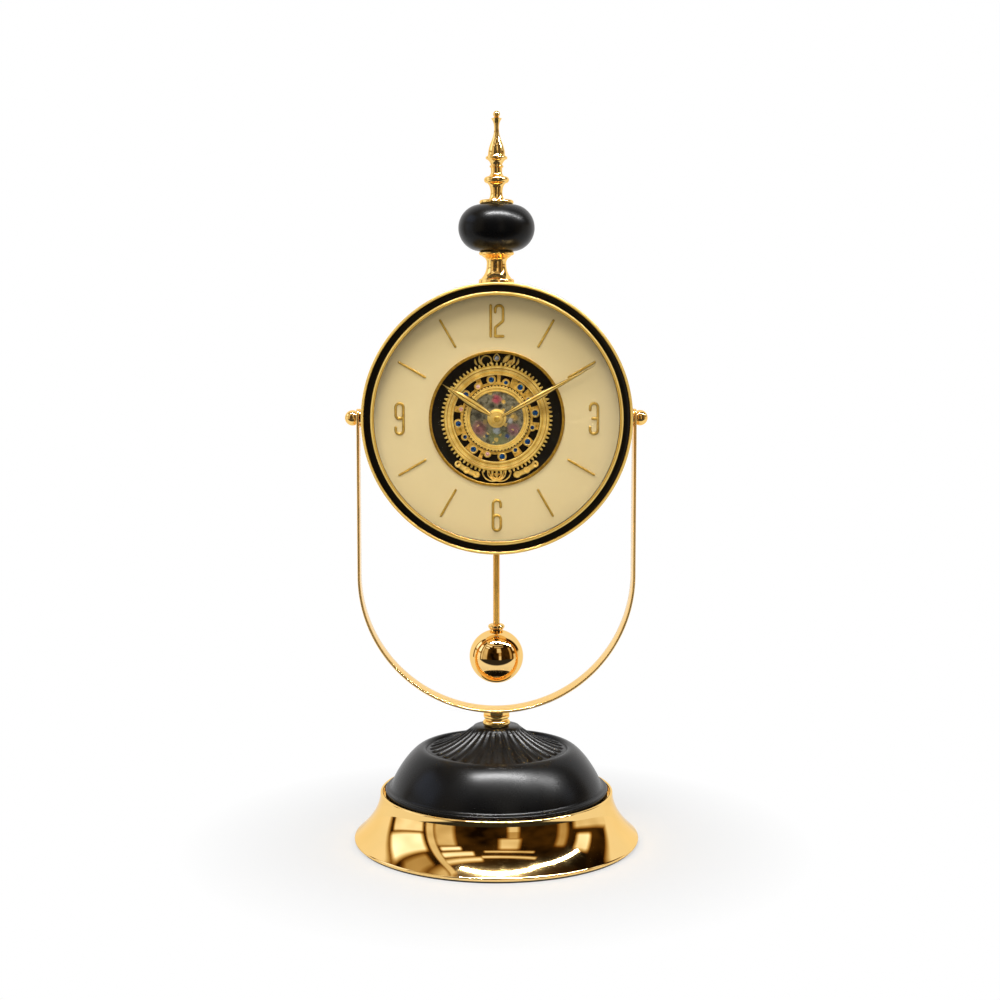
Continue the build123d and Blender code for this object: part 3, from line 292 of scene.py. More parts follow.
def moulded(name, shade, pale, rough, grain=2200.0, relief=0.15):
    # Moulded or cast skin: one grain in colour, roughness and bump, with slow clouds in the colour.
    finish = newFinish(name)
    spot = finish.spot()
    skin = finish.noise(spot, grain, detail=3.0, rough=0.6)
    cloud = finish.noise(spot, scale=70.0, detail=4.0)
    return finish.close({
        "Base Color": finish.blend(skin * 0.4 + cloud * 0.5, shade, pale),
        "Roughness": rough + (skin - 0.5) * 0.2,
        "Normal": finish.bump(skin, relief, depth=0.3),
    })


def bareMetal(name, shade, pale, rough):
    # Drawn metal: noise drawn out along the height, in colour, roughness and bump.
    finish = newFinish(name)
    drawn = finish.stretched(finish.spot(), (2400.0, 2400.0, 160.0))
    lines = finish.noise(drawn, scale=1.0, detail=3.0)
    return finish.close({
        "Base Color": finish.blend(lines, shade, pale),
        "Metallic": 1.0,
        "Roughness": rough + lines * 0.15,
        "Normal": finish.bump(lines, strength=0.1, depth=0.1),
    })


def gem(name, shade, glint, gloss=0.05):
    # Cut glass stone: cells stand for the facets, so each shows its own share of
    # the glint colour, a painted reflection in the base colour.
    finish = newFinish(name)
    tone = finish.cells(finish.spot(), scale=1500.0)
    return finish.close({
        "Base Color": finish.blend(tone ** 2.2, shade, glint),
        "Roughness": gloss + tone * 0.06,
        "Coat Weight": 1.0,
        "Coat Roughness": 0.03,
        "IOR": 1.6,
    })


pearl = Sizes(
    base=(0.1, 0.085, 0.05), pale=(0.34, 0.29, 0.18), gilt=(0.8, 0.5, 0.1),
    pits=(0.02, 0.018, 0.012), tear=1.8,
    patches=(  # place across and up from the axis, radius, colour
        (0.0, 11.5, 3.6, (0.5, 0.06, 0.1)), (-10.5, -6.5, 6.0, (0.3, 0.1, 0.1)),
        (10.2, -6.8, 5.0, (0.26, 0.1, 0.12)), (0.5, -12.0, 8.5, (0.2, 0.21, 0.09)),
        (-6.0, -10.6, 1.5, (0.01, 0.07, 0.16)), (6.4, -10.9, 1.9, (0.02, 0.05, 0.2)),
        (4.2, 10.2, 1.5, (0.8, 0.45, 0.06)), (-9.4, 7.4, 1.6, (0.65, 0.38, 0.08)),
        (10.6, 0.6, 3.4, (0.42, 0.25, 0.06)), (-3.0, 7.6, 2.4, (0.02, 0.02, 0.02)),
        (2.2, 7.4, 1.8, (0.025, 0.02, 0.015)), (0.0, -7.4, 2.8, (0.5, 0.54, 0.58)),
        (-11.0, 1.5, 2.6, (0.03, 0.025, 0.02)), (8.4, -1.6, 2.0, (0.45, 0.45, 0.44)),
        (-7.0, -2.0, 2.0, (0.4, 0.26, 0.08)),
    ),
)


def mottledPearl(name, s=pearl):
    # Mottled pearl: tinted patches whose edges are torn by noise, over a cloudy base with
    # gilt flecks and dark pits, each patch's mask being 1 less distance over radius.
    finish = newFinish(name)
    spot = finish.spot()
    torn = finish.noise(spot, scale=420.0, detail=5.0, rough=0.7)
    fleck = finish.cells(spot, scale=520.0)
    shade = finish.blend(finish.clamp(torn, 0.36, 0.66), s.base, s.pale)
    flat = finish.stretched(spot, (1.0, 0.0, 1.0))
    for across, up, reach, tint in s.patches:
        middle = (across * mm, 0.0, (drumHeight + up) * mm)
        away = finish.add(
            "ShaderNodeVectorMath", {"operation": "DISTANCE"}, {0: flat, 1: middle}, "Value")
        mask = finish.clamp(1.0 - away * (1.0 / (reach * mm)) + (torn - 0.5) * s.tear, 0.0, 0.6)
        shade = finish.blend(mask * 0.85, shade, tint)
    shade = finish.blend((fleck > 0.94) * 0.7, shade, s.gilt)
    return finish.close({
        "Base Color": finish.blend(finish.clamp(fleck, 0.2, 0.1) * 0.5, shade, s.pits),
        "Metallic": 0.25,
        "Roughness": 0.18 + torn * 0.15,
        "Coat Weight": 0.6,
        "Coat Roughness": 0.08,
    })


def clearGlass(name):
    # Dial glass: clear, with a trace of smear in the gloss;
    # lamp light and dull rays pass straight through it.
    finish = newFinish(name)
    smear = finish.noise(finish.spot(), scale=30.0, detail=4.0)
    glass = finish.add("ShaderNodeBsdfPrincipled", None, {
        "Base Color": (0.98, 0.99, 0.985), "Roughness": smear * 0.02, "IOR": 1.45,
        "Transmission Weight": 1.0})
    through = finish.add("ShaderNodeBsdfTransparent", None, {"Color": (0.97, 0.98, 0.97)})
    return finish.closeMixed(finish.ray("Shadow").most(finish.ray("Diffuse")), glass, through)


def feltPad(name):
    # Felt: matted fibre noise in colour, roughness and bump, with a little fuzz.
    finish = newFinish(name)
    fibre = finish.noise(finish.spot(), scale=2400.0, detail=6.0, rough=0.75)
    return finish.close({
        "Base Color": finish.blend(fibre, grey(0.008), (0.06, 0.06, 0.058)),
        "Roughness": 0.85 + fibre * 0.15,
        "Sheen Weight": 0.3,
        "Normal": finish.bump(fibre, strength=0.5, depth=0.6),
    })


def cellJacket(name, copperFrom=10.0, tipFrom=24.4):
    # Plain cell: a dark jacket with a copper band and a steel
    # nub at one end, split by the place along the cell.
    finish = newFinish(name)
    spot = finish.spot()
    across = finish.part(spot, "X")
    band = across > copperFrom * mm
    scuff = finish.noise(spot, scale=260.0, detail=5.0, rough=0.6)
    shade = finish.blend(band, (0.012, 0.012, 0.013), (0.5, 0.22, 0.09))
    shade = finish.blend(across > tipFrom * mm, shade, (0.6, 0.6, 0.62))
    return finish.close({
        "Base Color": finish.blend(scuff * 0.3, shade, grey(0.2)),
        "Metallic": 0.3 + band * 0.6,
        "Roughness": 0.25 + scuff * 0.15,
    })


gold = polishedGold("polished gold plate")
rodGold = polishedGold("drawn gold rod", Sizes(
    polish, tint=(0.95, 0.54, 0.12), deep=(0.86, 0.47, 0.09), metal=0.5, rough=0.12))
strapGold = polishedGold("gold strap", Sizes(
    polish, tint=(0.95, 0.64, 0.25), deep=(0.9, 0.58, 0.2), edge=(1.0, 0.86, 0.56),
    metal=0.84, rough=0.08))
bezelGold = ringBrushedGold(
    "gold bezel", bezelBands, rough=0.1, metal=0.35, wear=0.4, lines=500.0)
caseGold = ringBrushedGold(
    "gold drum band", caseBands, rough=0.1, metal=0.4, wear=0.4, lines=500.0, polished=82.85)
trimGold = polishedGold("gold trim", Sizes(
    polish, tint=(0.98, 0.67, 0.23), deep=(0.93, 0.59, 0.18), metal=0.94, rough=0.04))
# stamped trims: painted shade at the foot, fading out between the foot and crown depths
dialGold = cutGold(
    "stamped gold trim", ("groove", "deep", "bright"),
    rough=0.1, metal=0.6, foot=-11.7, crown=-12.38)
scrollGold = cutGold(
    "gold scroll work", ("groove", "warm", "pale"),
    rough=0.14, metal=0.3, foot=-5.5, crown=-6.6)
openingGold = cutGold(
    "gold opening ring", ("groove", "brown", "deep"),
    rough=0.14, metal=0.6, foot=-11.5, crown=-12.3)
rimGold = cutGold(
    "gold stone rims", ("groove", "bright", "pale"),
    rough=0.12, metal=0.35, foot=-7.3, crown=-7.8)
capGold = cutGold(
    "gold hand cap", ("brown", "deep", "bright"),
    rough=0.12, metal=0.6, foot=-15.9, crown=-16.6)
gearGold = ringBrushedGold("lathe-turned gold", gearBands, rough=0.18, metal=0.36)
innerGold = ringBrushedGold(
    "lathe-turned inner gold", innerBands, rough=0.16, metal=0.3, wear=0.6)
# painted shade at the plates' foot, fading out towards the crown
bridgeGold = cutGold(
    "pickled gold plate", ("groove", "brown", "warm"),
    rough=0.22, metal=0.45, foot=-5.5, crown=-7.0)
satinBlack = lacquer(
    "satin black lacquer", (0.0014, 0.0014, 0.0015), grey(0.005),
    rough=0.25, peel=0.02, shine=0.145)
glossBlack = lacquer(
    "gloss black enamel", (0.003, 0.0022, 0.001), (0.012, 0.009, 0.004),
    rough=0.16, peel=0.02, shine=0.3)
wellBlack = lacquer(
    "well black", (0.004, 0.0026, 0.0006), (0.012, 0.008, 0.003),
    rough=0.5, peel=0.05, shine=0.15)
champagne = champagneSatin("champagne satin", (0.73, 0.57, 0.3), (0.65, 0.485, 0.235))
plastic = moulded("black moulding", (0.012, 0.012, 0.013), (0.035, 0.035, 0.036), rough=0.5)
coated = moulded(
    "black powder coat", (0.008, 0.008, 0.009), grey(0.028), rough=0.5, grain=520.0, relief=0.6)
knobGrey = moulded("grey moulding", (0.05, 0.05, 0.052), grey(0.1), rough=0.4)
castIron = moulded(
    "raw iron", (0.05, 0.048, 0.045), (0.12, 0.11, 0.1), rough=0.6, grain=900.0, relief=0.4)
steel = bareMetal("drawn steel", (0.5, 0.5, 0.51), (0.68, 0.68, 0.69), rough=0.25)
brass = bareMetal("drawn brass", (0.66, 0.44, 0.16), (0.82, 0.58, 0.26), rough=0.2)
felt = feltPad("black felt")
blueStone = gem("blue stone", (0.0006, 0.014, 0.06), (0.003, 0.09, 0.27))
pinkStone = gem("pink stone", (0.5, 0.16, 0.14), (1.0, 0.88, 0.82))
clearStone = gem("clear stone", (0.25, 0.25, 0.26), (0.9, 0.9, 0.92))
pearlDisc = mottledPearl("mottled pearl")
dialGlass = clearGlass("dial glass")
cellSkin = cellJacket("plain cell jacket")
print("finishes ready")


def circleThrough(first, middle, last, steps):
    # Arc through three points: its centre is where the chords'
    # perpendiculars meet, and the angle then runs evenly.
    a, b, c = (np.array(p, float) for p in (first, middle, last))
    twice = 2 * (a[0] * (b[1] - c[1]) + b[0] * (c[1] - a[1]) + c[0] * (a[1] - b[1]))
    centre = np.array([
        a @ a * (b[1] - c[1]) + b @ b * (c[1] - a[1]) + c @ c * (a[1] - b[1]),
        a @ a * (c[0] - b[0]) + b @ b * (a[0] - c[0]) + c @ c * (b[0] - a[0]),
    ]) / twice
    start, half, end = (math.atan2(*(p - centre)[::-1]) for p in (a, b, c))
    toHalf, toEnd = (half - start) % (2 * math.pi), (end - start) % (2 * math.pi)
    sweep = toEnd if toHalf < toEnd else toEnd - 2 * math.pi
    turn = start + sweep * np.linspace(0, 1, steps + 1)[1:]
    return centre + math.dist(a, centre) * np.stack([np.cos(turn), np.sin(turn)], 1)


class Outline:  # straight, round and Bezier runs through points; x is the radius and y the height
    def __init__(self, start, *points):
        self.runs = [np.array([start], float)]
        self.line(*points)

    def line(self, *points, steps=1):  # straight to each point, in even steps
        share = np.linspace(0, 1, steps + 1)[1:, None]
        for point in points:
            start = self.runs[-1][-1]
            self.runs.append(start + (np.array(point) - start) * share)
        return self

    def arc(self, end, bulge, steps=14):  # bulge is the rise as a share of the chord
        start, end = self.runs[-1][-1], np.array(end, float)
        chord = end - start
        middle = (start + end) / 2 + np.array([chord[1], -chord[0]]) * bulge
        return self.bead(middle, end, steps)

    def bead(self, middle, end, steps=16):  # round through the middle to the end
        self.runs.append(circleThrough(self.runs[-1][-1], middle, end, steps))
        return self

    def curve(self, second, third, end, steps=30):  # cubic Bezier
        t = np.linspace(0, 1, steps + 1)[1:, None]
        a, b, c, d = (np.array(p, float) for p in (self.runs[-1][-1], second, third, end))
        self.runs.append(
            (1 - t) ** 3 * a + 3 * t * (1 - t) ** 2 * b + 3 * t * t * (1 - t) * c + t ** 3 * d)
        return self

    def points(self):  # all runs as one array
        return np.concatenate(self.runs)

    def eased(self, reach, steps=5, share=0.4, straightFrom=0.9):
        # Each sharp corner becomes a short quadratic curve that leaves
        # its two sides at the given reach, or at a share of a short side.
        line = self.points()
        before, after = np.roll(line, 1, 0) - line, np.roll(line, -1, 0) - line
        lengthBefore, lengthAfter = (
            np.maximum(np.linalg.norm(v, axis=1), 1e-9) for v in (before, after))
        straight = -(before * after).sum(1) / (lengthBefore * lengthAfter)
        sharp = (straight < straightFrom) & (line[:, 0] > 1e-6)
        first = line + before * (np.minimum(reach, share * lengthBefore) / lengthBefore)[:, None]
        last = line + after * (np.minimum(reach, share * lengthAfter) / lengthAfter)[:, None]
        t = np.linspace(0, 1, steps)[None, :, None]
        bent = (1 - t) ** 2 * first[:, None] + 2 * t * (1 - t) * line[:, None]
        bent += t * t * last[:, None]
        bent[~sharp] = line[~sharp][:, None]
        return bent[sharp[:, None] | (np.arange(steps) == steps // 2)]


def turns(steps):  # even angles once round
    return np.linspace(0, 2 * math.pi, steps, endpoint=False)


axes = {  # cross direction, second cross direction, axis direction, foot of the axis
    "upright": ((1, 0, 0), (0, 1, 0), (0, 0, 1), (0, 0, 0)),
    "pendulum": ((1, 0, 0), (0, 1, 0), (0, 0, 1), (0, swingPlace[1] / mm, 0)),
    "drum": ((0, 0, 1), (1, 0, 0), (0, 1, 0), (0, 0, drumHeight)),
    "pivot": ((0, 1, 0), (0, 0, 1), (1, 0, 0), (0, 0, drumHeight)),
}


def turnedGrid(radius, height, turn, axis, shift=(0, 0, 0)):
    # Turned surface: radius times the turn's cosine and sine
    # on the two cross directions, plus height along the axis.
    out, side, along, foot = (np.array(v, float) for v in axes[axis])
    turn = turn[:, None, None]
    radius = np.broadcast_to(radius, (len(turn), np.shape(radius)[-1]))[..., None]
    height = np.broadcast_to(height, radius.shape[:2])[..., None]
    spoke = np.cos(turn) * out + np.sin(turn) * side
    return foot + np.array(shift, float) + radius * spoke + height * along


class Shell:  # gathers grids of points and closes them into one piece
    def __init__(self):
        self.points, self.faces, self.count = [], [], 0

    def grid(self, points, aroundFirst=True, aroundSecond=True, hole=None):
        # Quads between neighbouring points, wrapped round in the
        # directions that close, without the cells of a hole.
        rows, columns = points.shape[:2]
        index = np.arange(rows * columns).reshape(rows, columns) + self.count
        wrapped = np.vstack([index, index[:1]]) if aroundFirst else index
        wrapped = np.hstack([wrapped, wrapped[:, :1]]) if aroundSecond else wrapped
        quads = np.stack([
            wrapped[:-1, :-1], wrapped[1:, :-1], wrapped[1:, 1:], wrapped[:-1, 1:]], -1)
        keep = np.ones(quads.shape[:2], bool) if hole is None else ~hole
        self.points.append(points.reshape(-1, 3))
        self.faces.append(quads[keep])
        self.count += rows * columns
        return wrapped

    def strip(self, first, second):  # joins two rows of vertex numbers
        self.faces.append(np.stack([first[:-1], first[1:], second[1:], second[:-1]], -1))

    def turned(self, line, axis, steps, shift=(0, 0, 0)):  # an outline once round its axis
        self.grid(turnedGrid(line[:, 0], line[:, 1], turns(steps), axis, shift))
        return self

    def piece(self, name, sharp=32):  # edges over this angle stay sharp
        mesh = bpy.data.meshes.new(name)
        points, faces = np.concatenate(self.points) * mm, np.concatenate(self.faces)
        mesh.from_pydata(points.tolist(), [], faces.tolist())
        form = bmesh.new()
        form.from_mesh(mesh)
        bmesh.ops.remove_doubles(form, verts=form.verts, dist=2e-7)
        bmesh.ops.dissolve_degenerate(form, edges=form.edges, dist=1e-8)
        bmesh.ops.recalc_face_normals(form, faces=form.faces)
        form.to_mesh(mesh)
        form.free()
        mesh.shade_smooth()
        mesh.set_sharp_from_angle(angle=math.radians(sharp))
        piece = bpy.data.objects.new(name, mesh)
        bpy.context.scene.collection.objects.link(piece)
        return piece


def dress(piece, body, slot, finish, *nodes):  # a new piece in the place of CAD nodes
    piece.data.materials.append(finish)
    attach(piece, body)
    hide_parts(*nodes)


def paint(finish, *nodes):  # CAD nodes that keep their shape
    for node in nodes:
        data = frame["nodes"][node].data
        data.materials.clear()
        data.materials.append(finish)


skirt = Sizes(
    radius=90.0, foot=1.2, top=32.5, wall=1.8, rim=2.4, tuck=1.2, shoulder=0.5, hem=5.0,
    hemThick=1.2, lip=73.5, lipWidth=1.8, footRun=5.0, footRise=4.6, neckRun=0.7, neckDrop=14.0,
    ledge=28.6, ledgeWidth=10.0, ledgeThick=1.4, flareSteps=64, steps=320, ease=0.2,
)


def makeSkirt(s):
    # Flared skirt: rolled rim, Bezier flare, rolled lip, ledge and
    # the same flare back inside, turned about the upright axis.
    rimTop, flareTop, hemTop = s.foot + s.rim, s.top - s.lipWidth / 2, s.foot + s.hemThick
    start, inner = s.radius - s.shoulder, s.radius - s.shoulder - s.wall
    lipInner, neckInner, ledgeUnder = s.lip - s.lipWidth, s.lip - s.wall, s.ledge - s.ledgeThick
    neck, ledgeInner = flareTop - s.neckDrop, s.lip - s.lipWidth - s.ledgeWidth
    line = Outline((s.radius - s.hem, s.foot), (s.radius - s.tuck, s.foot))
    line.bead((s.radius, s.foot + s.rim / 2), (start, rimTop))
    line.curve(
        (start - s.footRun, rimTop + s.footRise), (s.lip + s.neckRun, neck), (s.lip, flareTop),
        s.flareSteps)
    line.bead((s.lip - s.lipWidth / 2, s.top), (lipInner, flareTop))
    line.line((lipInner, s.ledge), (ledgeInner, s.ledge))
    line.line((ledgeInner, ledgeUnder), (neckInner, ledgeUnder))
    line.curve(
        (neckInner + s.neckRun, neck), (inner - s.footRun, rimTop + s.footRise), (inner, rimTop))
    line.line((inner, hemTop), (s.radius - s.hem, hemTop))
    return Shell().turned(line.eased(s.ease), "upright", s.steps).piece("skirt")


dress(makeSkirt(skirt), "stand", "polished_gold", gold, "base_skirt")

dome = Sizes(
    foot=28.6, lip=70.3, lipHeight=4.8, lipRound=1.0, coveWidth=2.8, coveRise=1.8, wall=2.0,
    height=31.3, sideRun=4.5, sideRise=11.1, crownRun=5.1, crownDrop=0.4, crest=47.2,
    rollWidth=2.8, rollDrop=1.5, bulge=0.2, coneTop=14.3, coneHeight=14.9, coneHollow=2.0,
    coneEdge=0.7, skin=4.6, hole=3.05, flutes=32, land=0.14, fluteDepth=1.75, fluteStart=2.2,
    fluteEnd=0.6, fluteRound=3.2, lipSteps=3, lipRoundSteps=5, coveSteps=7, sideSteps=38,
    rollSteps=6, coneSteps=46, fluteSteps=13, sharp=50,
)


def makeDome(s):
    # Dome and hollow cone turned about the upright axis. On the cone each flute
    # sinks the surface along its normal by depth times one less the square of
    # the place across the flute, and its ends close on a quarter circle.
    lipTop, crestHeight, wall = s.foot + s.lipHeight, s.foot + s.height, s.wall
    side = (s.lip - s.lipRound - s.coveWidth, lipTop + s.lipRound + s.coveRise)
    valley = (s.crest - s.rollWidth, crestHeight - s.rollDrop)
    top = valley[1] + s.coneHeight
    tip = (s.coneTop + s.coneEdge, top - s.coneEdge)
    outer = Outline((s.lip, s.foot)).line((s.lip, lipTop), steps=s.lipSteps)
    outer.arc((s.lip - s.lipRound, lipTop + s.lipRound), s.bulge, s.lipRoundSteps)
    outer.arc(side, -s.bulge, s.coveSteps)
    outer.curve(
        (side[0] - s.sideRun, side[1] + s.sideRise),
        (s.crest + s.crownRun, crestHeight - s.crownDrop), (s.crest, crestHeight), s.sideSteps)
    outer = outer.arc(valley, s.bulge, s.rollSteps).points()
    hollow = s.coneHollow / math.dist(valley, tip)
    cone = Outline(valley).arc(tip, -hollow, s.coneSteps).points()[1:]
    inner = Outline(
        (s.coneTop, top), (s.hole, top), (s.hole, top - s.skin), (s.coneTop - wall, top - s.skin),
        (valley[0] - wall, valley[1] - s.skin), (s.crest, crestHeight - wall),
        (side[0] - wall, side[1] - wall), (s.lip - wall, lipTop), (s.lip - wall, s.foot))
    line = np.concatenate([outer, cone, inner.points()])
    steps = np.linalg.norm(np.diff(np.vstack([valley, cone]), axis=0), axis=1)
    run = np.zeros(len(line))
    run[len(outer):len(outer) + len(cone)] = np.cumsum(steps)
    reach = 0.5 - s.land / 2
    swept = np.sin(np.linspace(-1, 1, s.fluteSteps) * math.pi / 2) * reach
    across = np.concatenate([[-0.5], swept])
    pitch = 2 * math.pi / s.flutes
    turn = ((np.arange(s.flutes)[:, None] + 0.5 + across[None]) * pitch - math.pi / 2).ravel()
    place = np.tile(across / reach, s.flutes)[:, None]
    fromEnd = np.minimum(run - s.fluteStart, steps.sum() - s.fluteEnd - run) / s.fluteRound
    width = np.sqrt(np.clip(1 - (1 - np.clip(fromEnd, 0, 1)) ** 2, 0, 1))
    scoop = np.clip(1 - (place / np.maximum(width, 1e-6)) ** 2, 0, 1) * width ** 0.5
    depth = scoop * s.fluteDepth * line[:, 0] / valley[0]
    slope = np.gradient(line, axis=0)
    slope /= np.maximum(np.linalg.norm(slope, axis=1, keepdims=True), 1e-9)
    radius, height = line[:, 0] - slope[:, 1] * depth, line[:, 1] + slope[:, 0] * depth
    shell = Shell()
    shell.grid(turnedGrid(radius, height, turn, "upright"))
    return shell.piece("fluted_dome", s.sharp)


dress(makeDome(dome), "stand", "black_satin", satinBlack, "base_dome")

strap = Sizes(
    thick=1.6, width=16.0, outer=86.6, bottom=82.9, armTop=5.6, armPlain=12.0, corner=4.0,
    edge=0.6, hole=3.0, bendSteps=160, armSteps=16, cornerSteps=9)
bendHeight = strap.bottom + strap.outer


def makeStrap(s):
    # Flat strap: a rounded rectangle carried down one arm, round the half
    # circle and up the other. Near both ends the width shrinks on the
    # corner's circle, and a ring of eight points opens each pivot hole.
    middle, top, hole = s.outer - s.thick / 2, drumHeight + s.armTop, s.hole
    ring = np.round(s.armTop + np.array([-1, 0, 1]) * hole, 4)
    rounded = s.corner * (1 - np.cos(np.linspace(0, 1, s.cornerSteps) * math.pi / 2))
    down = np.linspace(s.armPlain, top - bendHeight, s.armSteps)[:-1]
    rise = np.unique(np.round(np.concatenate([rounded, ring, down]), 4))
    turn = np.linspace(math.pi, 2 * math.pi, s.bendSteps)
    bend = np.stack([np.cos(turn), np.sin(turn)], 1)
    left = np.stack([np.full_like(rise, -middle), top - rise], 1)
    outward = np.tile([-1.0, 0.0], (len(rise), 1))
    path = np.concatenate([left, bend * middle + [0, bendHeight], left[::-1] * [-1, 1]])
    facing = np.concatenate([outward, bend, -outward])
    short = np.clip(s.corner - (top - path[:, 1]), 0, s.corner)
    half = s.width / 2 - s.corner + np.sqrt(s.corner ** 2 - short ** 2) - s.edge
    # section: five points on each rounded edge, and three on each face for the hole
    quarter = np.linspace(0, math.pi / 2, 5)[None] + np.arange(4)[:, None] * math.pi / 2
    cosine, sine = s.edge * np.cos(quarter), s.edge * np.sin(quarter)
    deep, flat, columns = s.thick / 2 - s.edge, np.full(3, s.thick / 2), np.array([hole, 0, -hole])
    side = np.repeat([1, 0, -1, -1, 0, 1], [5, 3, 5, 5, 3, 5])
    across = np.concatenate([cosine[0], columns, cosine[1], cosine[2], -columns, cosine[3]])
    across = across + side * half[:, None]
    out = np.concatenate([
        deep + sine[0], flat, deep + sine[1], sine[2] - deep, -flat, sine[3] - deep])
    flatPoint = path[:, None] + facing[:, None] * out[None, :, None]
    points = np.stack([flatPoint[..., 0], across, flatPoint[..., 1]], -1)
    besideHole, acrossHole = [5, 7, 18, 20], [5, 6, 18, 19]  # columns of the section
    loop = np.array([5, 6, 7, 7, 7, 6, 5, 5, 5])  # once round the hole on the outer face
    rows = np.searchsorted(rise, ring - 1e-3)
    rows = [rows, len(path) - 1 - rows]
    for arm in rows:
        for row, sign in ((arm[0], 1), (arm[2], -1)):
            points[row, besideHole, 1] *= math.sqrt(0.5)
            points[row, besideHole, 2] = drumHeight + sign * hole * math.sqrt(0.5)
    ends = points[[0, -1]].copy()
    ends[..., 0] = np.sign(ends[..., 0]) * middle
    points = np.concatenate([ends[:1], points, ends[1:]])
    mask = np.zeros((len(points) - 1, points.shape[1]), bool)
    for arm in rows:
        first = min(arm) + 1
        mask[first:first + 2, acrossHole] = True
    shell = Shell()
    index = shell.grid(points, aroundFirst=False, hole=mask)
    for a, b, c in (arm + 1 for arm in rows):
        rim = [a, a, a, b, c, c, c, b, a]
        shell.strip(index[rim, loop], index[rim, points.shape[1] - 1 - loop])
    return shell.piece("yoke_strap")


dress(makeStrap(strap), "stand", "polished_gold", strapGold, "yoke_strap")

ferrule = Sizes(
    bore=3.05, foot=73.3, neck=7.2, bead=8.55, beadHeight=4.2, groove=0.9, head=8.2, headRise=0.9,
    notch=(  # depth below the head's radius, height on the head
        (0.0, 1.1), (0.7, 1.5), (0.0, 1.9), (0.0, 3.0), (0.0, 6.0)),
    headBulge=0.2, beadSteps=22, steps=160)


def makeFerrule(s):
    # Double ring: a bead and a flared head, whose top follows the
    # strap's round underside, bend height less the circle's rise.
    beadTop = s.foot + s.beadHeight
    top = beadTop + s.groove + s.headRise
    line = Outline((s.bore, s.foot), (s.neck, s.foot))
    line.bead((s.bead, s.foot + s.beadHeight / 2), (s.neck, beadTop), s.beadSteps)
    line.line((s.neck, beadTop + s.groove)).arc((s.head, top), s.headBulge)
    line.line(*((s.head - depth, top + rise) for depth, rise in s.notch))
    points, turn = line.line((s.bore, top + s.notch[-1][1])).points(), turns(s.steps)
    saddle = bendHeight - np.sqrt(strap.outer ** 2 - (points[:, 0] * np.cos(turn)[:, None]) ** 2)
    shell = Shell()
    shell.grid(turnedGrid(points[:, 0], np.minimum(points[:, 1], saddle), turn, "upright"))
    return shell.piece("ferrule")


dress(makeFerrule(ferrule), "stand", "polished_gold", trimGold, "ferrule")
print("foot and yoke ready")

case = Sizes(
    radius=83.0, wall=1.8, half=22.0, round=0.7, frontLedge=(78.2, -10.3, -8.3),
    rearLedge=(74.7, 17.0, 19.0), slotHalf=9.59, slot=(1.25, 7.75), steps=348, slotSteps=12,
    rimSteps=8,
)


def makeCase(s):
    # Drum band: one closed section with rounded rims and two ledges, turned about
    # the drum's axis, with the cells of the pendulum slot left out and walled.
    inside, easeIn = s.radius - s.wall, s.half - s.round
    rimTurn = np.linspace(0, math.pi / 2, s.rimSteps)
    rim = s.round * np.stack([np.sin(rimTurn), np.cos(rimTurn)], 1)
    outerFront = np.array([s.radius - s.round, -easeIn]) + rim * [1, -1]
    innerFront = np.array([inside + s.round, -easeIn]) + rim[::-1] * [-1, -1]
    (front, frontNear, frontFar), (rear, rearNear, rearFar) = s.frontLedge, s.rearLedge
    slotNear, slotFar = s.slot
    line = np.concatenate([
        innerFront, outerFront, [[s.radius, slotNear], [s.radius, slotFar]],
        (outerFront * [1, -1])[::-1], (innerFront * [1, -1])[::-1],
        [[inside, rearFar], [rear, rearFar], [rear, rearNear], [inside, rearNear],
         [inside, slotFar], [inside, slotNear],
         [inside, frontFar], [front, frontFar], [front, frontNear], [inside, frontNear]],
    ])
    slotTurn = math.asin(s.slotHalf / s.radius)
    turn = math.pi + np.concatenate([
        np.linspace(-slotTurn, slotTurn, s.slotSteps + 1),
        np.linspace(slotTurn, 2 * math.pi - slotTurn, s.steps)[1:-1]])
    # the slot's first columns in the outer and the inner wall
    a, b = len(innerFront) + len(outerFront), len(line) - 6
    hole = np.zeros((len(turn), len(line)), bool)
    hole[:s.slotSteps, [a, b]] = True
    shell = Shell()
    index = shell.grid(turnedGrid(line[:, 0], line[:, 1], turn, "drum"), hole=hole)
    span = np.arange(s.slotSteps + 1)
    shell.strip(index[span, a], index[span, b + 1])
    shell.strip(index[span, a + 1], index[span, b])
    for end in (0, s.slotSteps):
        shell.strip(index[end, [a, a + 1]], index[end, [b + 1, b]])
    return shell.piece("drum_band")


dress(makeCase(case), "drum", "polished_gold", caseGold, "drum_case")

knob = Sizes(
    seat=86.7, bore=2.55, collar=3.9, collarLength=0.6, sink=2.0, ball=4.8, boreEnd=89.9,
    ballSteps=26, steps=72)


def makeKnobs(s):
    # Ball knob: a collar and a ball cut off at it, turned about the pivot line, once for each side.
    cut = s.seat + s.collarLength
    centre = cut + s.sink
    edge = math.sqrt(s.ball ** 2 - s.sink ** 2)
    turn = np.linspace(math.atan2(edge, -s.sink), 0, s.ballSteps)
    ball = np.stack([s.ball * np.sin(turn), centre + s.ball * np.cos(turn)], 1)
    line = Outline((s.bore, s.seat), (s.collar, s.seat), (s.collar, cut)).points()
    line = np.concatenate([line, ball, [[0, s.boreEnd], [s.bore, s.boreEnd]]])
    shell = Shell().turned(line, "pivot", s.steps).turned(line * [1, -1], "pivot", s.steps)
    return shell.piece("ball_knobs")


dress(makeKnobs(knob), "drum", "polished_gold", trimGold, "pivot_knobs")

front = Sizes(  # inner and outer radius, near and far depth, eased edge
    blackRing=(77.25, 81.15, -21.2, -17.6, 0.5), goldLip=(75.0, 77.2, -21.6, -19.6, 0.55),
    goldSleeve=(76.5, -17.6), spacer=(75.0, 81.15, -17.6, -11.5, 0.15),
    opening=(39.85, 41.6, -12.5, -11.5, 0.5), glass=(0.0, 76.45, -19.6, -17.6, 0.15), steps=300,
)


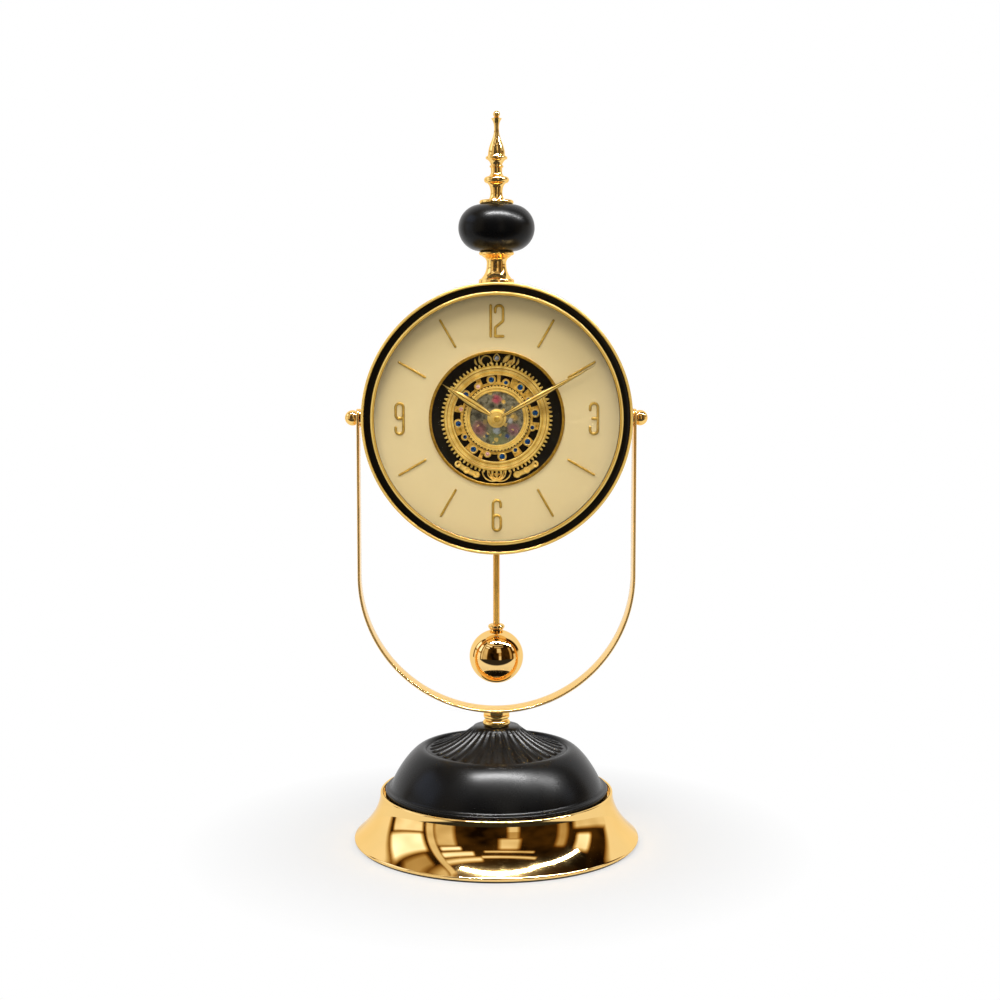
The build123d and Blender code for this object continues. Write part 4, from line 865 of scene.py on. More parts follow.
def makeRing(name, ring):
    # Plain ring or pane: a rectangle with eased corners turned about the drum's axis.
    inner, outer, near, far, ease = ring
    line = Outline((inner, far), (inner, near), (outer, near), (outer, far))
    return Shell().turned(line.eased(ease), "drum", front.steps).piece(name)


def makeGoldRing(s):
    # Bezel ring: a lip over the glass and a sleeve round it, in one section.
    (inner, outer, near, seat, ease), (sleeve, far) = s.goldLip, s.goldSleeve
    line = Outline(
        (inner, seat), (inner, near), (outer, near), (outer, far), (sleeve, far), (sleeve, seat))
    return Shell().turned(line.eased(ease), "drum", s.steps).piece("bezel_gold")


for piece, slot, finish, node in (
        (makeRing("bezel_black", front.blackRing), "black_gloss", glossBlack, "bezel_ring_black"),
        (makeGoldRing(front), "polished_gold", bezelGold, "bezel_ring_gold"),
        (makeRing("dial_spacer", front.spacer), "dark_plastic", glossBlack, "dial_spacer"),
        (makeRing("opening_ring", front.opening), "polished_gold", openingGold, "aperture_ring"),
        (makeRing("dial_glass", front.glass), "clear_glass", dialGlass, "glass")):
    dress(piece, "drum", slot, finish, node)
print("drum and bezel ready")

raised = Sizes(capSteps=7, spacing=0.35, feel=0.05, sectionSteps=11, leafPower=0.8)


def stroke(shell, s, path, width, share=1.0, plump=2.6, leaf=False):
    # Raised stroke on the dial: a D-shaped section, cosine and sine to the power 2
    # over plump, stands across the path; its half width follows a circle near both
    # ends, so they come out round, or on a leaf the sine of the place along it.
    half = width / 2
    run = np.concatenate([[0], np.cumsum(np.linalg.norm(np.diff(path, axis=0), axis=1))])
    length = run[-1]

    def along(places):  # points at these distances from the path's start
        places = np.clip(places, 0, length)
        return np.stack([np.interp(places, run, path[:, k]) for k in (0, 1)], 1)

    cap = half * (1 - np.cos(np.linspace(0, 1, raised.capSteps) * math.pi / 2))
    between = np.linspace(half, length - half, max(3, int(length / raised.spacing)))[1:-1]
    stations = np.concatenate([cap, between, length - cap[::-1]])
    ahead = along(stations + raised.feel) - along(stations - raised.feel)
    ahead /= np.linalg.norm(ahead, axis=1, keepdims=True)
    sideways = np.stack([-ahead[:, 1], ahead[:, 0]], 1)
    fromEnd = np.clip(np.minimum(stations, length - stations) / half, 0, 1)
    wide = np.sqrt(1 - (1 - fromEnd) ** 2)
    if leaf:
        wide = np.sin(stations / length * math.pi) ** raised.leafPower
    turn = np.linspace(0, math.pi, raised.sectionSteps)
    across = np.sign(np.cos(turn)) * np.abs(np.cos(turn)) ** (2 / plump) * half
    up = np.sin(turn) ** (2 / plump) * (s.rise * share)
    flat = along(stations)[:, None] + sideways[:, None] * (wide[:, None] * across)[..., None]
    depth = s.back - wide[:, None] ** 0.5 * up
    shell.grid(np.stack([flat[..., 0], depth, drumHeight + flat[..., 1]], -1), aroundFirst=False)


def around(angle, radius):  # a place on the dial, clockwise from twelve
    return np.array([math.sin(math.radians(angle)), math.cos(math.radians(angle))]) * radius


marks = Sizes(
    back=-11.45, rise=0.95, barWidth=1.5, barInner=49.8, barOuter=69.6,
    barHours=(1, 2, 4, 5, 7, 8, 10, 11), numeralRadius=59.4, halfWide=2.375, halfTall=9.325,
    stroke=1.75, hook=1.6, onePlace=3.75, twoPlace=1.4, twoHeel=5.3, twoSink=0.2, threeBar=3.2,
    threeOver=0.3, archSteps=24,
)


def makeBars(s):
    # Hour bars: straight strokes from the inner to the outer radius at each hour without a numeral.
    shell = Shell()
    for hour in s.barHours:
        path = np.stack([around(hour * 30, s.barInner), around(hour * 30, s.barOuter)])
        stroke(shell, s, path, s.barWidth)
    return shell.piece("hour_bars")


def makeNumerals(s):
    # Numerals: pen paths of straight lines and half circles, each
    # carried as a raised stroke; the nine is the six turned over.
    wide, tall, reach, radius = s.halfWide, s.halfTall, s.stroke / 2, s.numeralRadius
    bend = tall - wide
    hook = bend - s.hook - reach

    def arch(line, x, y, up):  # half circle to the place x, y, above or below it
        middle = (line.runs[-1][-1][0] + x) / 2
        return line.bead((middle, y + up * wide), (x, y), s.archSteps)

    one = Outline((0, -tall - reach), (0, tall + reach))
    two = arch(Outline((-wide, hook), (-wide, bend)), wide, bend, 1)
    two.line((wide, 0), (-wide, s.twoHeel - tall), (-wide, -tall - s.twoSink))
    twoFoot = Outline((-wide - reach, -tall), (wide + reach, -tall))
    three = arch(Outline((-wide, hook), (-wide, bend)), wide, bend, 1).line((wide, -bend))
    arch(three, -wide, -bend, -1).line((-wide, -hook))
    threeBar = Outline((wide + s.threeOver, 0), (wide - s.threeBar - reach, 0))
    six = arch(Outline((wide, hook), (wide, bend)), -wide, bend, 1).line((-wide, -bend))
    six = arch(arch(six, wide, -bend, -1).line((wide, -wide)), -wide, -wide, 1)
    shell = Shell()
    for line, sign, across, up in (
            (one, 1, -s.onePlace, radius), (two, 1, s.twoPlace, radius),
            (twoFoot, 1, s.twoPlace, radius), (three, 1, radius, 0), (threeBar, 1, radius, 0),
            (six, 1, 0, -radius), (six, -1, -radius, 0)):
        stroke(shell, s, line.points() * sign + [across, up], s.stroke)
    return shell.piece("hour_numerals")


dress(makeBars(marks), "drum", "polished_gold", dialGold, "hour_bars")
dress(makeNumerals(marks), "drum", "polished_gold", dialGold, "hour_numerals")

ringGear = Sizes(
    teeth=78, root=32.3, tip=34.2, foot=0.27, head=0.2, shoulder=0.72, back=-7.5, front=-9.5,
    edge=0.3, edgeDrop=0.4,
    steps=(  # radius and drop of each step of the face
        (31.9, 0.0), (30.7, 0.0), (30.4, 0.7), (28.2, 0.9), (27.9, 0.35), (26.8, 0.35),
        (26.5, 0.7)),
    sharp=25,
)
innerRing = Sizes(
    teeth=60, root=19.4, tip=20.2, foot=0.43, head=0.3, shoulder=0.72, back=-5.5, front=-8.6,
    edge=0.25, edgeDrop=0.4,
    steps=(  # radius and drop of each step of the face
        (18.8, 0.0), (18.2, 0.0), (18.0, 0.35), (17.2, 0.35), (17.0, 0.1), (16.6, 0.2),
        (16.3, 0.8)),
    sharp=25,
)


def makeGear(name, s):
    # Toothed ring: the outer radius goes from root to a rounded tip and back
    # within each pitch; the face then steps down and up towards the bore.
    pitch = 2 * math.pi / s.teeth
    across = np.array([-0.5, -s.foot, -s.head, -s.head / 2, s.head / 2, s.head, s.foot])
    reach = np.array([0.0, 0.0, s.shoulder, 1.0, 1.0, s.shoulder, 0.0])
    turn = ((np.arange(s.teeth)[:, None] + across) * pitch).ravel()
    rim = np.tile(s.root + (s.tip - s.root) * reach, s.teeth)[:, None]
    plain, drop = np.array(s.steps).T
    face = np.tile(np.append(plain, plain[-1]), (len(turn), 1))
    radius = np.hstack([rim, rim, rim - s.edge, face])
    height = np.concatenate([
        [s.back, s.front + 2 * s.edge, s.front + s.edge * s.edgeDrop], s.front + drop, [s.back]])
    shell = Shell()
    shell.grid(turnedGrid(radius, height, turn, "drum"))
    return shell.piece(name, s.sharp)


dress(makeGear("ring_gear", ringGear), "drum", "satin_gold", gearGold, "ring_gear")
dress(makeGear("inner_ring", innerRing), "drum", "satin_gold", innerGold, "inner_ring")

stones = Sizes(  # big and small: radius, circle that they stand on, angle of the first
    big=(1.8, 23.7, -8.0), small=(1.25, 22.5, 14.5), pitch=45.0, bigHues="bbbbbbbb",
    smallHues="bbbbpbpp", base=-7.3, girdle=-7.75, table=-8.15, tableShare=0.62, sides=10,
    sharp=12, rim=0.5, rimFront=-8.1, rimRound=8, rimSteps=28,
)


def makeStones(s):
    # Stones: a low faceted crown of ten sides, girdle to table;
    # each sits in a round rim whose section is a half circle.
    blue, pink, rims = Shell(), Shell(), Shell()
    places = [(s.big, k, hue) for k, hue in enumerate(s.bigHues)]
    places += [(s.small, k, hue) for k, hue in enumerate(s.smallHues)]
    for (size, circle, first), k, hue in places:
        across, up = around(first + k * s.pitch, circle)
        flat, edge = size * s.tableShare, size + s.rim
        crown = Outline(
            (0, s.base), (size, s.base), (size, s.girdle), (flat, s.table), (0, s.table))
        (blue if hue == "b" else pink).turned(crown.points(), "drum", s.sides, (across, 0, up))
        ring = Outline((size, s.base), (size, s.girdle))
        ring.bead((size + s.rim / 2, s.rimFront), (edge, s.girdle), s.rimRound).line((edge, s.base))
        rims.turned(ring.points(), "drum", s.rimSteps, (across, 0, up))
    crowns = blue.piece("blue_stones", s.sharp), pink.piece("pink_stones", s.sharp)
    return *crowns, rims.piece("stone_rims")


blueStones, pinkStones, stoneRims = makeStones(stones)
dress(blueStones, "drum", "blue_glass", blueStone, "blue_jewels")
dress(pinkStones, "drum", "pink_glass", pinkStone, "pink_jewels")
dress(stoneRims, "drum", "polished_gold", rimGold, "jewel_settings")

scrolls = Sizes(
    back=-5.5, rise=1.6, circle=36.7, line=0.95, leafPlump=2.0,
    curl=(-6.3, -1.7, 3.1, -25, 230),  # across, up, radius, first and last angle
    eye=(0.9, 1.28), rose=(1.3, 1.2),  # radius, height of the shoulder
    roseHeight=-34.6, bossShoulder=0.7,
    drop=(1.85, 2.8, 145, 395), dropLine=0.85,  # radius, height of the tip, first and last angle
    leaves=(  # length, width, across, up, angle
        (7.2, 3.3, 5.9, -0.5, 47), (5.4, 2.5, 8.0, -2.6, 40)),
    plumes=((16.6, 6.2, 1.8), (20.8, 4.6, 1.5)),  # angle, radius of the bend, width
    plumeSpread=32, plumeSink=0.3,
    loops=(  # the same five numbers as the curl
        (2.2, 4.6, 6.6, 180, 360), (1.3, 3.4, 4.2, 180, 360), (1.7, 0.7, 1.9, 90, 450)),
    plate=(3.5, 16.0, 40.5), plateRise=0.75, platePlump=4.0,  # width, first and last angle from six
    lobes=(20.0, 30.0, 40.0), lobe=(0.9, 2.25), lobeRise=(0.7, 0.6),  # inner and outer edge
    bossRound=6, lobeRound=8, eyeSteps=20, roseSteps=24, lobeSteps=24,
)


def ringPath(across, up, radius, first, last, points=40):
    # Part of a circle: cosine and sine of even angles, anticlockwise from the right.
    turn = np.radians(np.linspace(first, last, points))
    return np.stack([across + radius * np.cos(turn), up + radius * np.sin(turn)], 1)


def boss(s, radius, shoulder):  # outline of a low round boss
    edge = (radius * s.bossShoulder, s.back - shoulder)
    line = Outline((0, s.back), (radius, s.back))
    return line.bead(edge, (0, s.back - s.rise), s.bossRound).points()


def makeTopScroll(s):
    # Top scroll: a curl with a round eye, a teardrop round
    # the stone, two leaves and bent plumes at both sides.
    shell, (across, lift, *bend) = Shell(), s.curl
    curl = ringPath(across, s.circle + lift, *bend)
    stroke(shell, s, curl, s.line)
    shell.turned(boss(s, *s.eye), "drum", s.eyeSteps, (curl[0, 0], 0, curl[0, 1]))
    radius, lift, first, last = s.drop
    tip = [[0, s.circle + lift]]
    drop = np.concatenate([tip, ringPath(0, s.circle, radius, first, last), tip])
    stroke(shell, s, drop, s.line * s.dropLine)
    for length, width, across, lift, angle in s.leaves:
        half = np.array([math.cos(math.radians(angle)), math.sin(math.radians(angle))]) * length / 2
        middle = np.array([across, s.circle + lift])
        leaf = np.stack([middle - half, middle, middle + half])
        stroke(shell, s, leaf, width, plump=s.leafPlump, leaf=True)
    for angle, bend, width in s.plumes:
        turn = math.radians(-angle)
        bow = ringPath(-bend, s.circle - s.plumeSink, bend, -s.plumeSpread, s.plumeSpread)
        bow = bow @ np.array([[math.cos(turn), math.sin(turn)], [-math.sin(turn), math.cos(turn)]])
        for side in (1, -1):
            stroke(shell, s, bow * [side, 1], width, plump=s.leafPlump, leaf=True)
    return shell.piece("top_scroll_raised")


def makeBottomScroll(s):
    # Bottom scroll: crossing loops and links, a round rose, and
    # at each side a plate with three pierced lobes, all mirrored.
    shell, (inner, outer), (width, first, last) = Shell(), s.lobe, s.plate
    innerTop, outerTop = (s.back - s.rise * share for share in s.lobeRise)
    lobe = Outline((inner, s.back), (inner, innerTop))
    lobe.bead(((inner + outer) / 2, s.back - s.rise), (outer, outerTop), s.lobeRound)
    lobe.line((outer, s.back))
    shell.turned(boss(s, *s.rose), "drum", s.roseSteps, (0, 0, s.roseHeight))
    for side in (1, -1):
        for across, lift, *bend in s.loops:
            stroke(shell, s, ringPath(across, lift - s.circle, *bend) * [side, 1], s.line)
        plate = ringPath(0, 0, s.circle, first - 90, last - 90) * [side, 1]
        stroke(shell, s, plate, width, s.plateRise, s.platePlump)
        for angle in s.lobes:
            across, up = around(180 - angle * side, s.circle)
            shell.turned(lobe.points(), "drum", s.lobeSteps, (across, 0, up))
    return shell.piece("bottom_scroll_raised")


dress(makeTopScroll(scrolls), "drum", "polished_gold", scrollGold, "top_scroll")
dress(makeBottomScroll(scrolls), "drum", "polished_gold", scrollGold, "bottom_scroll")

hourHand = Sizes(
    length=40.5, width=5.4, widest=0.45, hub=4.4, bore=2.55, angle=302.3, back=-13.3, front=-14.1)
minuteHand = Sizes(
    length=69.0, width=3.7, widest=0.4, hub=3.4, bore=1.45, angle=61.5, back=-15.0, front=-15.8)
hand = Sizes(  # what both hands share; the section has a groove down its middle
    root=1.5, gap=0.2, edge=0.12, rootRise=0.5, tipRise=0.3, tipFall=0.6, tipShare=3, hubEase=0.25,
    across=(-1, -1, -0.78, -0.5, -0.2, 0, 0.2, 0.5, 0.78, 1, 1),
    rise=(0, 0.12, 0.5, 0.92, 1, 0.3, 1, 0.92, 0.5, 0.12, 0),
    patina=(0.5, 0.12),  # depth behind the front where the painted shade is darkest, and where it ends
    rough=0.12, metal=0.5, rootSteps=16, tipSteps=24, hubSteps=72, sharp=8,
)


def makeHand(name, s):
    # Hand: a rounded section with a groove, whose width grows from the root to the widest part on
    # a sine and falls straight to the tip, where it also gets lower, with a ring round the arbor.
    place = np.concatenate([
        np.linspace(0, s.widest, hand.rootSteps), np.linspace(s.widest, 1, hand.tipSteps)[1:]])
    growing = hand.root + (s.width - hand.root) * np.sin(place / s.widest * math.pi / 2)
    wide = np.where(place < s.widest, growing, s.width * (1 - place) / (1 - s.widest))
    across = wide[:, None] / 2 * np.array(hand.across)
    tall = 1 - (1 - np.minimum(1, wide / s.width * hand.tipShare)) * hand.tipFall
    section = np.array(hand.rise)
    rise = np.where(section > hand.edge, section * tall[:, None], section)
    along = place[:, None] * (s.length - s.bore - hand.gap) + s.bore + hand.gap
    along = np.repeat(along, len(section), 1)
    across[0], rise[0] = 0, hand.rootRise
    across[-1], rise[-1] = 0, hand.tipRise
    ahead, side = around(s.angle, 1.0), around(s.angle + 90, 1.0)
    flat = along[..., None] * ahead + across[..., None] * side
    depth = s.back + (s.front - s.back) * rise
    shell = Shell()
    shell.grid(np.stack([flat[..., 0], depth, drumHeight + flat[..., 1]], -1), aroundFirst=False)
    ring = Outline((s.bore, s.back), (s.bore, s.front), (s.hub, s.front), (s.hub, s.back))
    return shell.turned(ring.eased(hand.hubEase), "drum", hand.hubSteps).piece(name, hand.sharp)


for node, body, sizes in (("hour_hand", "hour", hourHand), ("minute_hand", "minute", minuteHand)):
    # painted shade, dark at the hands' edges and down the groove, by depth
    foot, crown = (sizes.front + below for below in hand.patina)
    name = node.replace("_", " ") + " gold"
    finish = cutGold(name, ("groove", "warm", "pale"), hand.rough, hand.metal, foot, crown)
    dress(makeHand(node + "_grooved", sizes), body, "polished_gold", finish, node)

hub = Sizes(
    bore=4.05, nut=5.8, nutBack=-7.4, nutFront=-8.6, step=4.9, stepFront=-9.2, nutEase=0.3,
    nutSteps=96, cap=1.9, capBack=-15.85, capEdge=0.45, capRound=0.4, capShare=0.6, capFront=-16.9,
    domeSteps=10, capSteps=48)


def makeNut(s):
    # Hub nut: two round steps with eased edges, turned about the drum's axis.
    line = Outline(
        (s.bore, s.nutBack), (s.nut, s.nutBack), (s.nut, s.nutFront), (s.step, s.nutFront),
        (s.step, s.stepFront), (s.bore, s.stepFront))
    return Shell().turned(line.eased(s.nutEase), "drum", s.nutSteps).piece("hub_nut")


def makeCap(s):
    # Hand cap: a short rim under a low dome.
    edge = s.capBack - s.capEdge
    line = Outline((0, s.capBack), (s.cap, s.capBack), (s.cap, edge))
    line.curve(
        (s.cap, edge - s.capRound), (s.cap * s.capShare, s.capFront), (0, s.capFront), s.domeSteps)
    return Shell().turned(line.points(), "drum", s.capSteps).piece("hand_cap")


dress(makeNut(hub), "drum", "polished_gold", rimGold, "bushing_nut")
dress(makeCap(hub), "minute", "polished_gold", capGold, "hand_cap")
print("dial ready")

pendulum = Sizes(
    rod=2.05, rodBottom=128.47, rodTop=214.95, rodEase=0.3, collarBore=2.1, collar=4.2,
    collarBulge=5.2, collarBottom=133.47, collarEdge=134.57, collarTop=137.57,
    collarChamfer=(0.3, 0.2), collarEase=0.15, ball=17.0, ballHeight=117.0, beadSteps=20,
    ballSteps=64, steps=128,
)


def makePendulum(s):
    # Rod, collar and ball, each an outline turned about the pendulum's
    # line; the ball is an arc from its foot to the flat top.
    rod = Outline((0, s.rodBottom), (s.rod, s.rodBottom), (s.rod, s.rodTop), (0, s.rodTop))
    inwards, down = s.collarChamfer
    collar = Outline(
        (s.collarBore, s.collarBottom), (s.collar, s.collarBottom), (s.collar, s.collarEdge))
    bulge = (s.collarBulge, (s.collarEdge + s.collarTop - down) / 2)
    collar.bead(bulge, (s.collar, s.collarTop - down), s.beadSteps)
    collar.line((s.collar - inwards, s.collarTop), (s.collarBore, s.collarTop))
    flat = math.sqrt(s.ball ** 2 - (s.collarBottom - s.ballHeight) ** 2)
    ball = Outline((0, s.ballHeight - s.ball))
    ball.bead((s.ball, s.ballHeight), (flat, s.collarBottom), s.ballSteps)
    ball.line((s.collarBore, s.collarBottom), (s.collarBore, s.rodBottom), (0, s.rodBottom))
    for name, line, finish in (
            ("pendulum_rod", rod.eased(s.rodEase), rodGold),
            ("bob_collar", collar.eased(s.collarEase), gold),
            ("pendulum_bob", ball.points(), gold)):
        piece = Shell().turned(line, "pendulum", s.steps).piece(name + "_turned")
        dress(piece, "pendulum", "polished_gold", finish, name)


makePendulum(pendulum)

finial = Sizes(
    hole=2.55, foot=10.95, footTop=352.35, footSink=6.0, footEdge=9.6, footRise=353.7, waist=6.1,
    waistHeight=362.0, neck=6.9, neckHeight=366.0, head=10.8, headBottom=367.9, footBulge=0.2,
    waistBulge=-0.1, footSteps=4, ballBottom=370.5, ball=23.5, ballHeight=28.4, flat=9.6,
    pull=0.5523, steps=160, spireBore=6.0, spireEase=0.12, spireSteps=96,
    spire=(  # kind of each run, then the radius and the height above the ball of its points
        ("line", (9.1, 0.0)), ("bead", (10.5, 1.4), (9.1, 2.8)), ("line", (5.0, 2.8)),
        ("arc", (3.9, 9.4), -0.1), ("arc", (5.7, 12.9), -0.1), ("bead", (7.7, 14.9), (5.7, 16.9)),
        ("arc", (3.5, 20.3), -0.2), ("line", (3.5, 22.2)), ("bead", (4.3, 23.0), (3.5, 23.8)),
        ("arc", (5.7, 27.2), -0.1), ("bead", (6.7, 28.2), (5.7, 29.2)), ("line", (5.2, 30.0)),
        ("curve", (5.2, 36.24), (1.5, 39.36), (1.5, 45.6)),
        ("curve", (1.5, 48.12), (1.5, 49.38), (3.25, 51.9), 14),
        ("line", (1.2, 52.8)), ("bead", (2.1, 54.52), (0.0, 56.62), 20),
    ),
)


def makeSocket(s):
    # Socket: a waisted neck with a rolled head, turned about the upright
    # axis; its foot follows the drum, axis height plus the circle's rise.
    r, sunk = (s.ballBottom - s.headBottom) / 2, s.footTop - s.footSink
    line = Outline((s.hole, sunk)).line((s.foot, sunk), steps=s.footSteps).line((s.foot, s.footTop))
    line.arc((s.footEdge, s.footRise), s.footBulge)
    line.arc((s.waist, s.waistHeight), s.waistBulge).arc((s.neck, s.neckHeight), s.waistBulge)
    line.line((s.head - r, s.headBottom))
    line.bead((s.head, s.headBottom + r), (s.head - r, s.ballBottom))
    points, turn = line.line((s.hole, s.ballBottom)).points(), turns(s.steps)
    saddle = drumHeight + np.sqrt(case.radius ** 2 - (points[:, 0] * np.cos(turn)[:, None]) ** 2)
    shell = Shell()
    shell.grid(turnedGrid(points[:, 0], np.maximum(points[:, 1], saddle), turn, "upright"))
    return shell.piece("finial_socket_turned")


def makeFinialBall(s):
    # Oblate ball: two Bezier quarters between flat ends, turned about the upright axis.
    half = s.ballHeight / 2
    middle, top = s.ballBottom + half, s.ballBottom + s.ballHeight
    side = s.flat + (s.ball - s.flat) * s.pull
    line = Outline((s.hole, s.ballBottom), (s.flat, s.ballBottom))
    line.curve((side, s.ballBottom), (s.ball, middle - half * s.pull), (s.ball, middle))
    line.curve((s.ball, middle + half * s.pull), (side, top), (s.flat, top)).line((s.hole, top))
    return Shell().turned(line.points(), "upright", s.steps).piece("finial_ball_turned")


def makeSpire(s):
    # Spire: beads, hollows and a long taper, one run after
    # the other, turned about the upright axis above the ball.
    line = Outline((s.hole, 0.0))
    for kind, *points in s.spire:
        getattr(line, kind)(*points)
    line.line((0.0, s.spireBore), (s.hole, s.spireBore))
    line = line.eased(s.spireEase) + [0.0, s.ballBottom + s.ballHeight]
    return Shell().turned(line, "upright", s.spireSteps).piece("finial_spire_turned")


dress(makeSocket(finial), "drum", "polished_gold", trimGold, "finial_socket")
dress(makeFinialBall(finial), "drum", "black_satin", satinBlack, "finial_ball")
dress(makeSpire(finial), "drum", "polished_gold", trimGold, "finial_spire")

cell = Sizes(
    height=286.0, depth=5.35, radius=7.1, left=-25.25, right=23.95, nub=2.75, nubEnd=25.25,
    ease=0.5, steps=64)


def makeCell(s):
    # Cell: a long round body with a rolled edge at each
    # end and a nub, turned about its own level line.
    line = Outline(
        (0, s.left), (s.radius, s.left), (s.radius, s.right), (s.nub, s.right), (s.nub, s.nubEnd),
        (0, s.nubEnd))
    place = (0, s.depth, s.height - drumHeight)
    return Shell().turned(line.eased(s.ease), "pivot", s.steps, place).piece("cell")


dress(makeCell(cell), "drum", "cell_jacket", cellSkin, "battery")

screws = Sizes(
    circle=78.0, places=(45, 135, 225, 315), turns=(20, 75, 130, -15), head=2.3, seat=20.6,
    edge=0.55, rise=0.5, slot=0.16, slotDepth=0.6, shank=1.2, shankEnd=17.0, rows=9, columns=13,
    shankSteps=24,
)


def makeScrews(s):
    # Slotted screw: each row across the head is a loop over a low dome,
    # edge plus rise times one less the squared radius, and back along the
    # flat seat; the two rows at the slot's sides are sunk to its floor.
    shell = Shell()
    outer = np.sin(np.linspace(-1, -math.asin(s.slot) * 2 / math.pi, s.rows) * math.pi / 2)
    u = np.concatenate([outer, [-s.slot, s.slot], -outer[::-1]])[:, None]
    sunk = np.abs(np.arange(len(u)) - (len(u) - 1) / 2)[:, None] < 1
    v = np.linspace(-1, 1, s.columns) * np.sqrt(np.clip(1 - u ** 2, 0, 1))
    crown = s.seat + s.edge + s.rise * (1 - u ** 2 - v ** 2)
    crown = np.where(sunk, s.seat + s.edge + s.rise - s.slotDepth, crown)
    x = np.hstack([np.broadcast_to(u, v.shape)] * 2) * s.head
    z = np.hstack([v, v[:, ::-1]]) * s.head
    height = np.hstack([crown, np.full_like(crown, s.seat)])
    shank = Outline((0, s.shankEnd), (s.shank, s.shankEnd), (s.shank, s.seat), (0, s.seat)).points()
    for place, turn in zip(s.places, np.radians(s.turns)):
        across, up = around(place, s.circle)
        flatX = across + x * math.cos(turn) - z * math.sin(turn)
        flatZ = drumHeight + up + x * math.sin(turn) + z * math.cos(turn)
        shell.grid(np.stack([flatX, height, flatZ], -1), aroundFirst=False)
        shell.turned(shank, "drum", s.shankSteps, (across, 0, up))
    return shell.piece("cover_screws")


dress(makeScrews(screws), "drum", "steel", steel, "rear_screws")
print("pendulum and finial ready")

paint(felt, "base_pad")
paint(castIron, "ballast_plate")
paint(steel, "tie_rod", "tie_washer", "tie_nut", "pivot_studs", "battery_contacts")
paint(steel, "pendulum_pin", "finial_stud", "finial_nut", "minute_arbor")
paint(gold, "pivot_washers")
paint(champagne, "dial_plate")
paint(wellBlack, "movement_well")
paint(gearGold, "gear_pillars")
paint(bridgeGold, "bridge_ring")
paint(pearlDisc, "centre_disc")
paint(clearStone, "clear_stone")
paint(brass, "bushing", "hour_pipe")
paint(plastic, "movement_front", "movement_rear", "pendulum_hanger")
paint(knobGrey, "setting_knob")
paint(coated, "rear_cover")

# studio: pale floor, white surround, soft lamps and
# the darker half of the room that polished gold shows

studio = Sizes(
    plain=0.44, dark=(0.006, 0.003, 0.001), dusk=(0.065, 0.033, 0.008), behind=119.0,
    behindEdge=3.0,
    glow=(0.8, 0.3),  # least brightness of a panel, and what clouds add
    warm=(1.35, 2.1),  # the dimmer a panel, the warmer: powers of its level for green and blue
    panels=(  # left and right bearing, lowest and highest elevation, soft edge, level
        (-112, -75, -30, 14, 1.5, 1.05), (-115, -76, 17, 41, 2.5, 1.4),
        (-108, -80, 45, 57, 2.5, 0.5), (-115, -72, 60, 72, 3.0, 0.8),
        (-71, -63, -30, 68, 1.2, 0.85), (-62, -42, -30, 36, 2.5, 0.7), (-60, -38, 38, 43, 1.6, 1.4),
        (-62, -26, 46, 52, 1.6, 1.3), (-64, -18, 55, 60, 2.0, 1.1), (2, 22, 23, 42, 2.5, 0.85),
        (10, 20, -30, 10, 2.0, 0.85), (10, 20, 8, 23, 2.0, 0.5), (-14, 40, 45, 47.5, 1.2, 1.0),
        (-18, 46, 53, 56, 1.2, 1.0), (60, 70, -30, 36, 2.5, 0.5), (78, 125, -30, 9, 3.0, 0.95),
        (82, 98, 18, 38, 2.5, 1.3), (-180, 180, 84, 100, 4.0, 0.2),
    ),
)


def lightWorld(s):
    # World: dull rays meet one plain level and the camera meets white. Polished
    # surfaces meet white behind the object and a dim room in front, with soft
    # panels that are products of soft steps in bearing and elevation, in degrees.
    world = bpy.data.worlds.new("studio")
    bpy.context.scene.world = world
    world.cycles.sampling_method = "NONE"
    finish = Finish(world)
    way = finish.add("ShaderNodeTexCoord", out="Generated")
    x, y, z = (finish.part(way, axis) for axis in "XYZ")
    bearing = x.maths("ARCTAN2", x, y * -1.0) * (180 / math.pi)
    rise = z.maths("ARCSINE", z) * (180 / math.pi)
    aside = bearing.maths("ABSOLUTE", bearing)
    light = finish.clamp(aside, s.behind - s.behindEdge, s.behind + s.behindEdge)
    glow = s.glow[0] + finish.clamp(finish.noise(way, scale=2.4, detail=1.0), 0.3, 0.7) * s.glow[1]
    for left, right, low, high, edge, level in s.panels:
        mask = finish.clamp(bearing - left, -edge, edge)
        for inwards in (right - bearing, rise - low, high - rise):
            mask = mask * finish.clamp(inwards, -edge, edge)
        light = light.most(mask * level * glow)
    room = finish.blend(finish.clamp(finish.noise(way, scale=2.2), 0.35, 0.7), s.dark, s.dusk)
    green, blue = (light ** power for power in s.warm)
    shine = finish.add("ShaderNodeCombineColor", None, {0: light, 1: green, 2: blue})
    mirror = finish.blend(1.0, room, shine, "ADD")
    polished = finish.ray("Glossy").most(finish.ray("Transmission"))
    shade = finish.blend(polished, grey(s.plain), mirror)
    shade = finish.blend(finish.ray("Camera"), shade, grey(1.0))
    ground = finish.add("ShaderNodeBackground", None, {"Color": shade, "Strength": 1.0})
    finish.add("ShaderNodeOutputWorld", None, {"Surface": ground})


lightWorld(studio)

floor = Sizes(
    half=0.9, shade=0.58, pale=0.62, nearLift=0.6, reach=(0.09, 0.2), frontEdge=-0.2,
    softEdge=0.02, beyond=0.03)


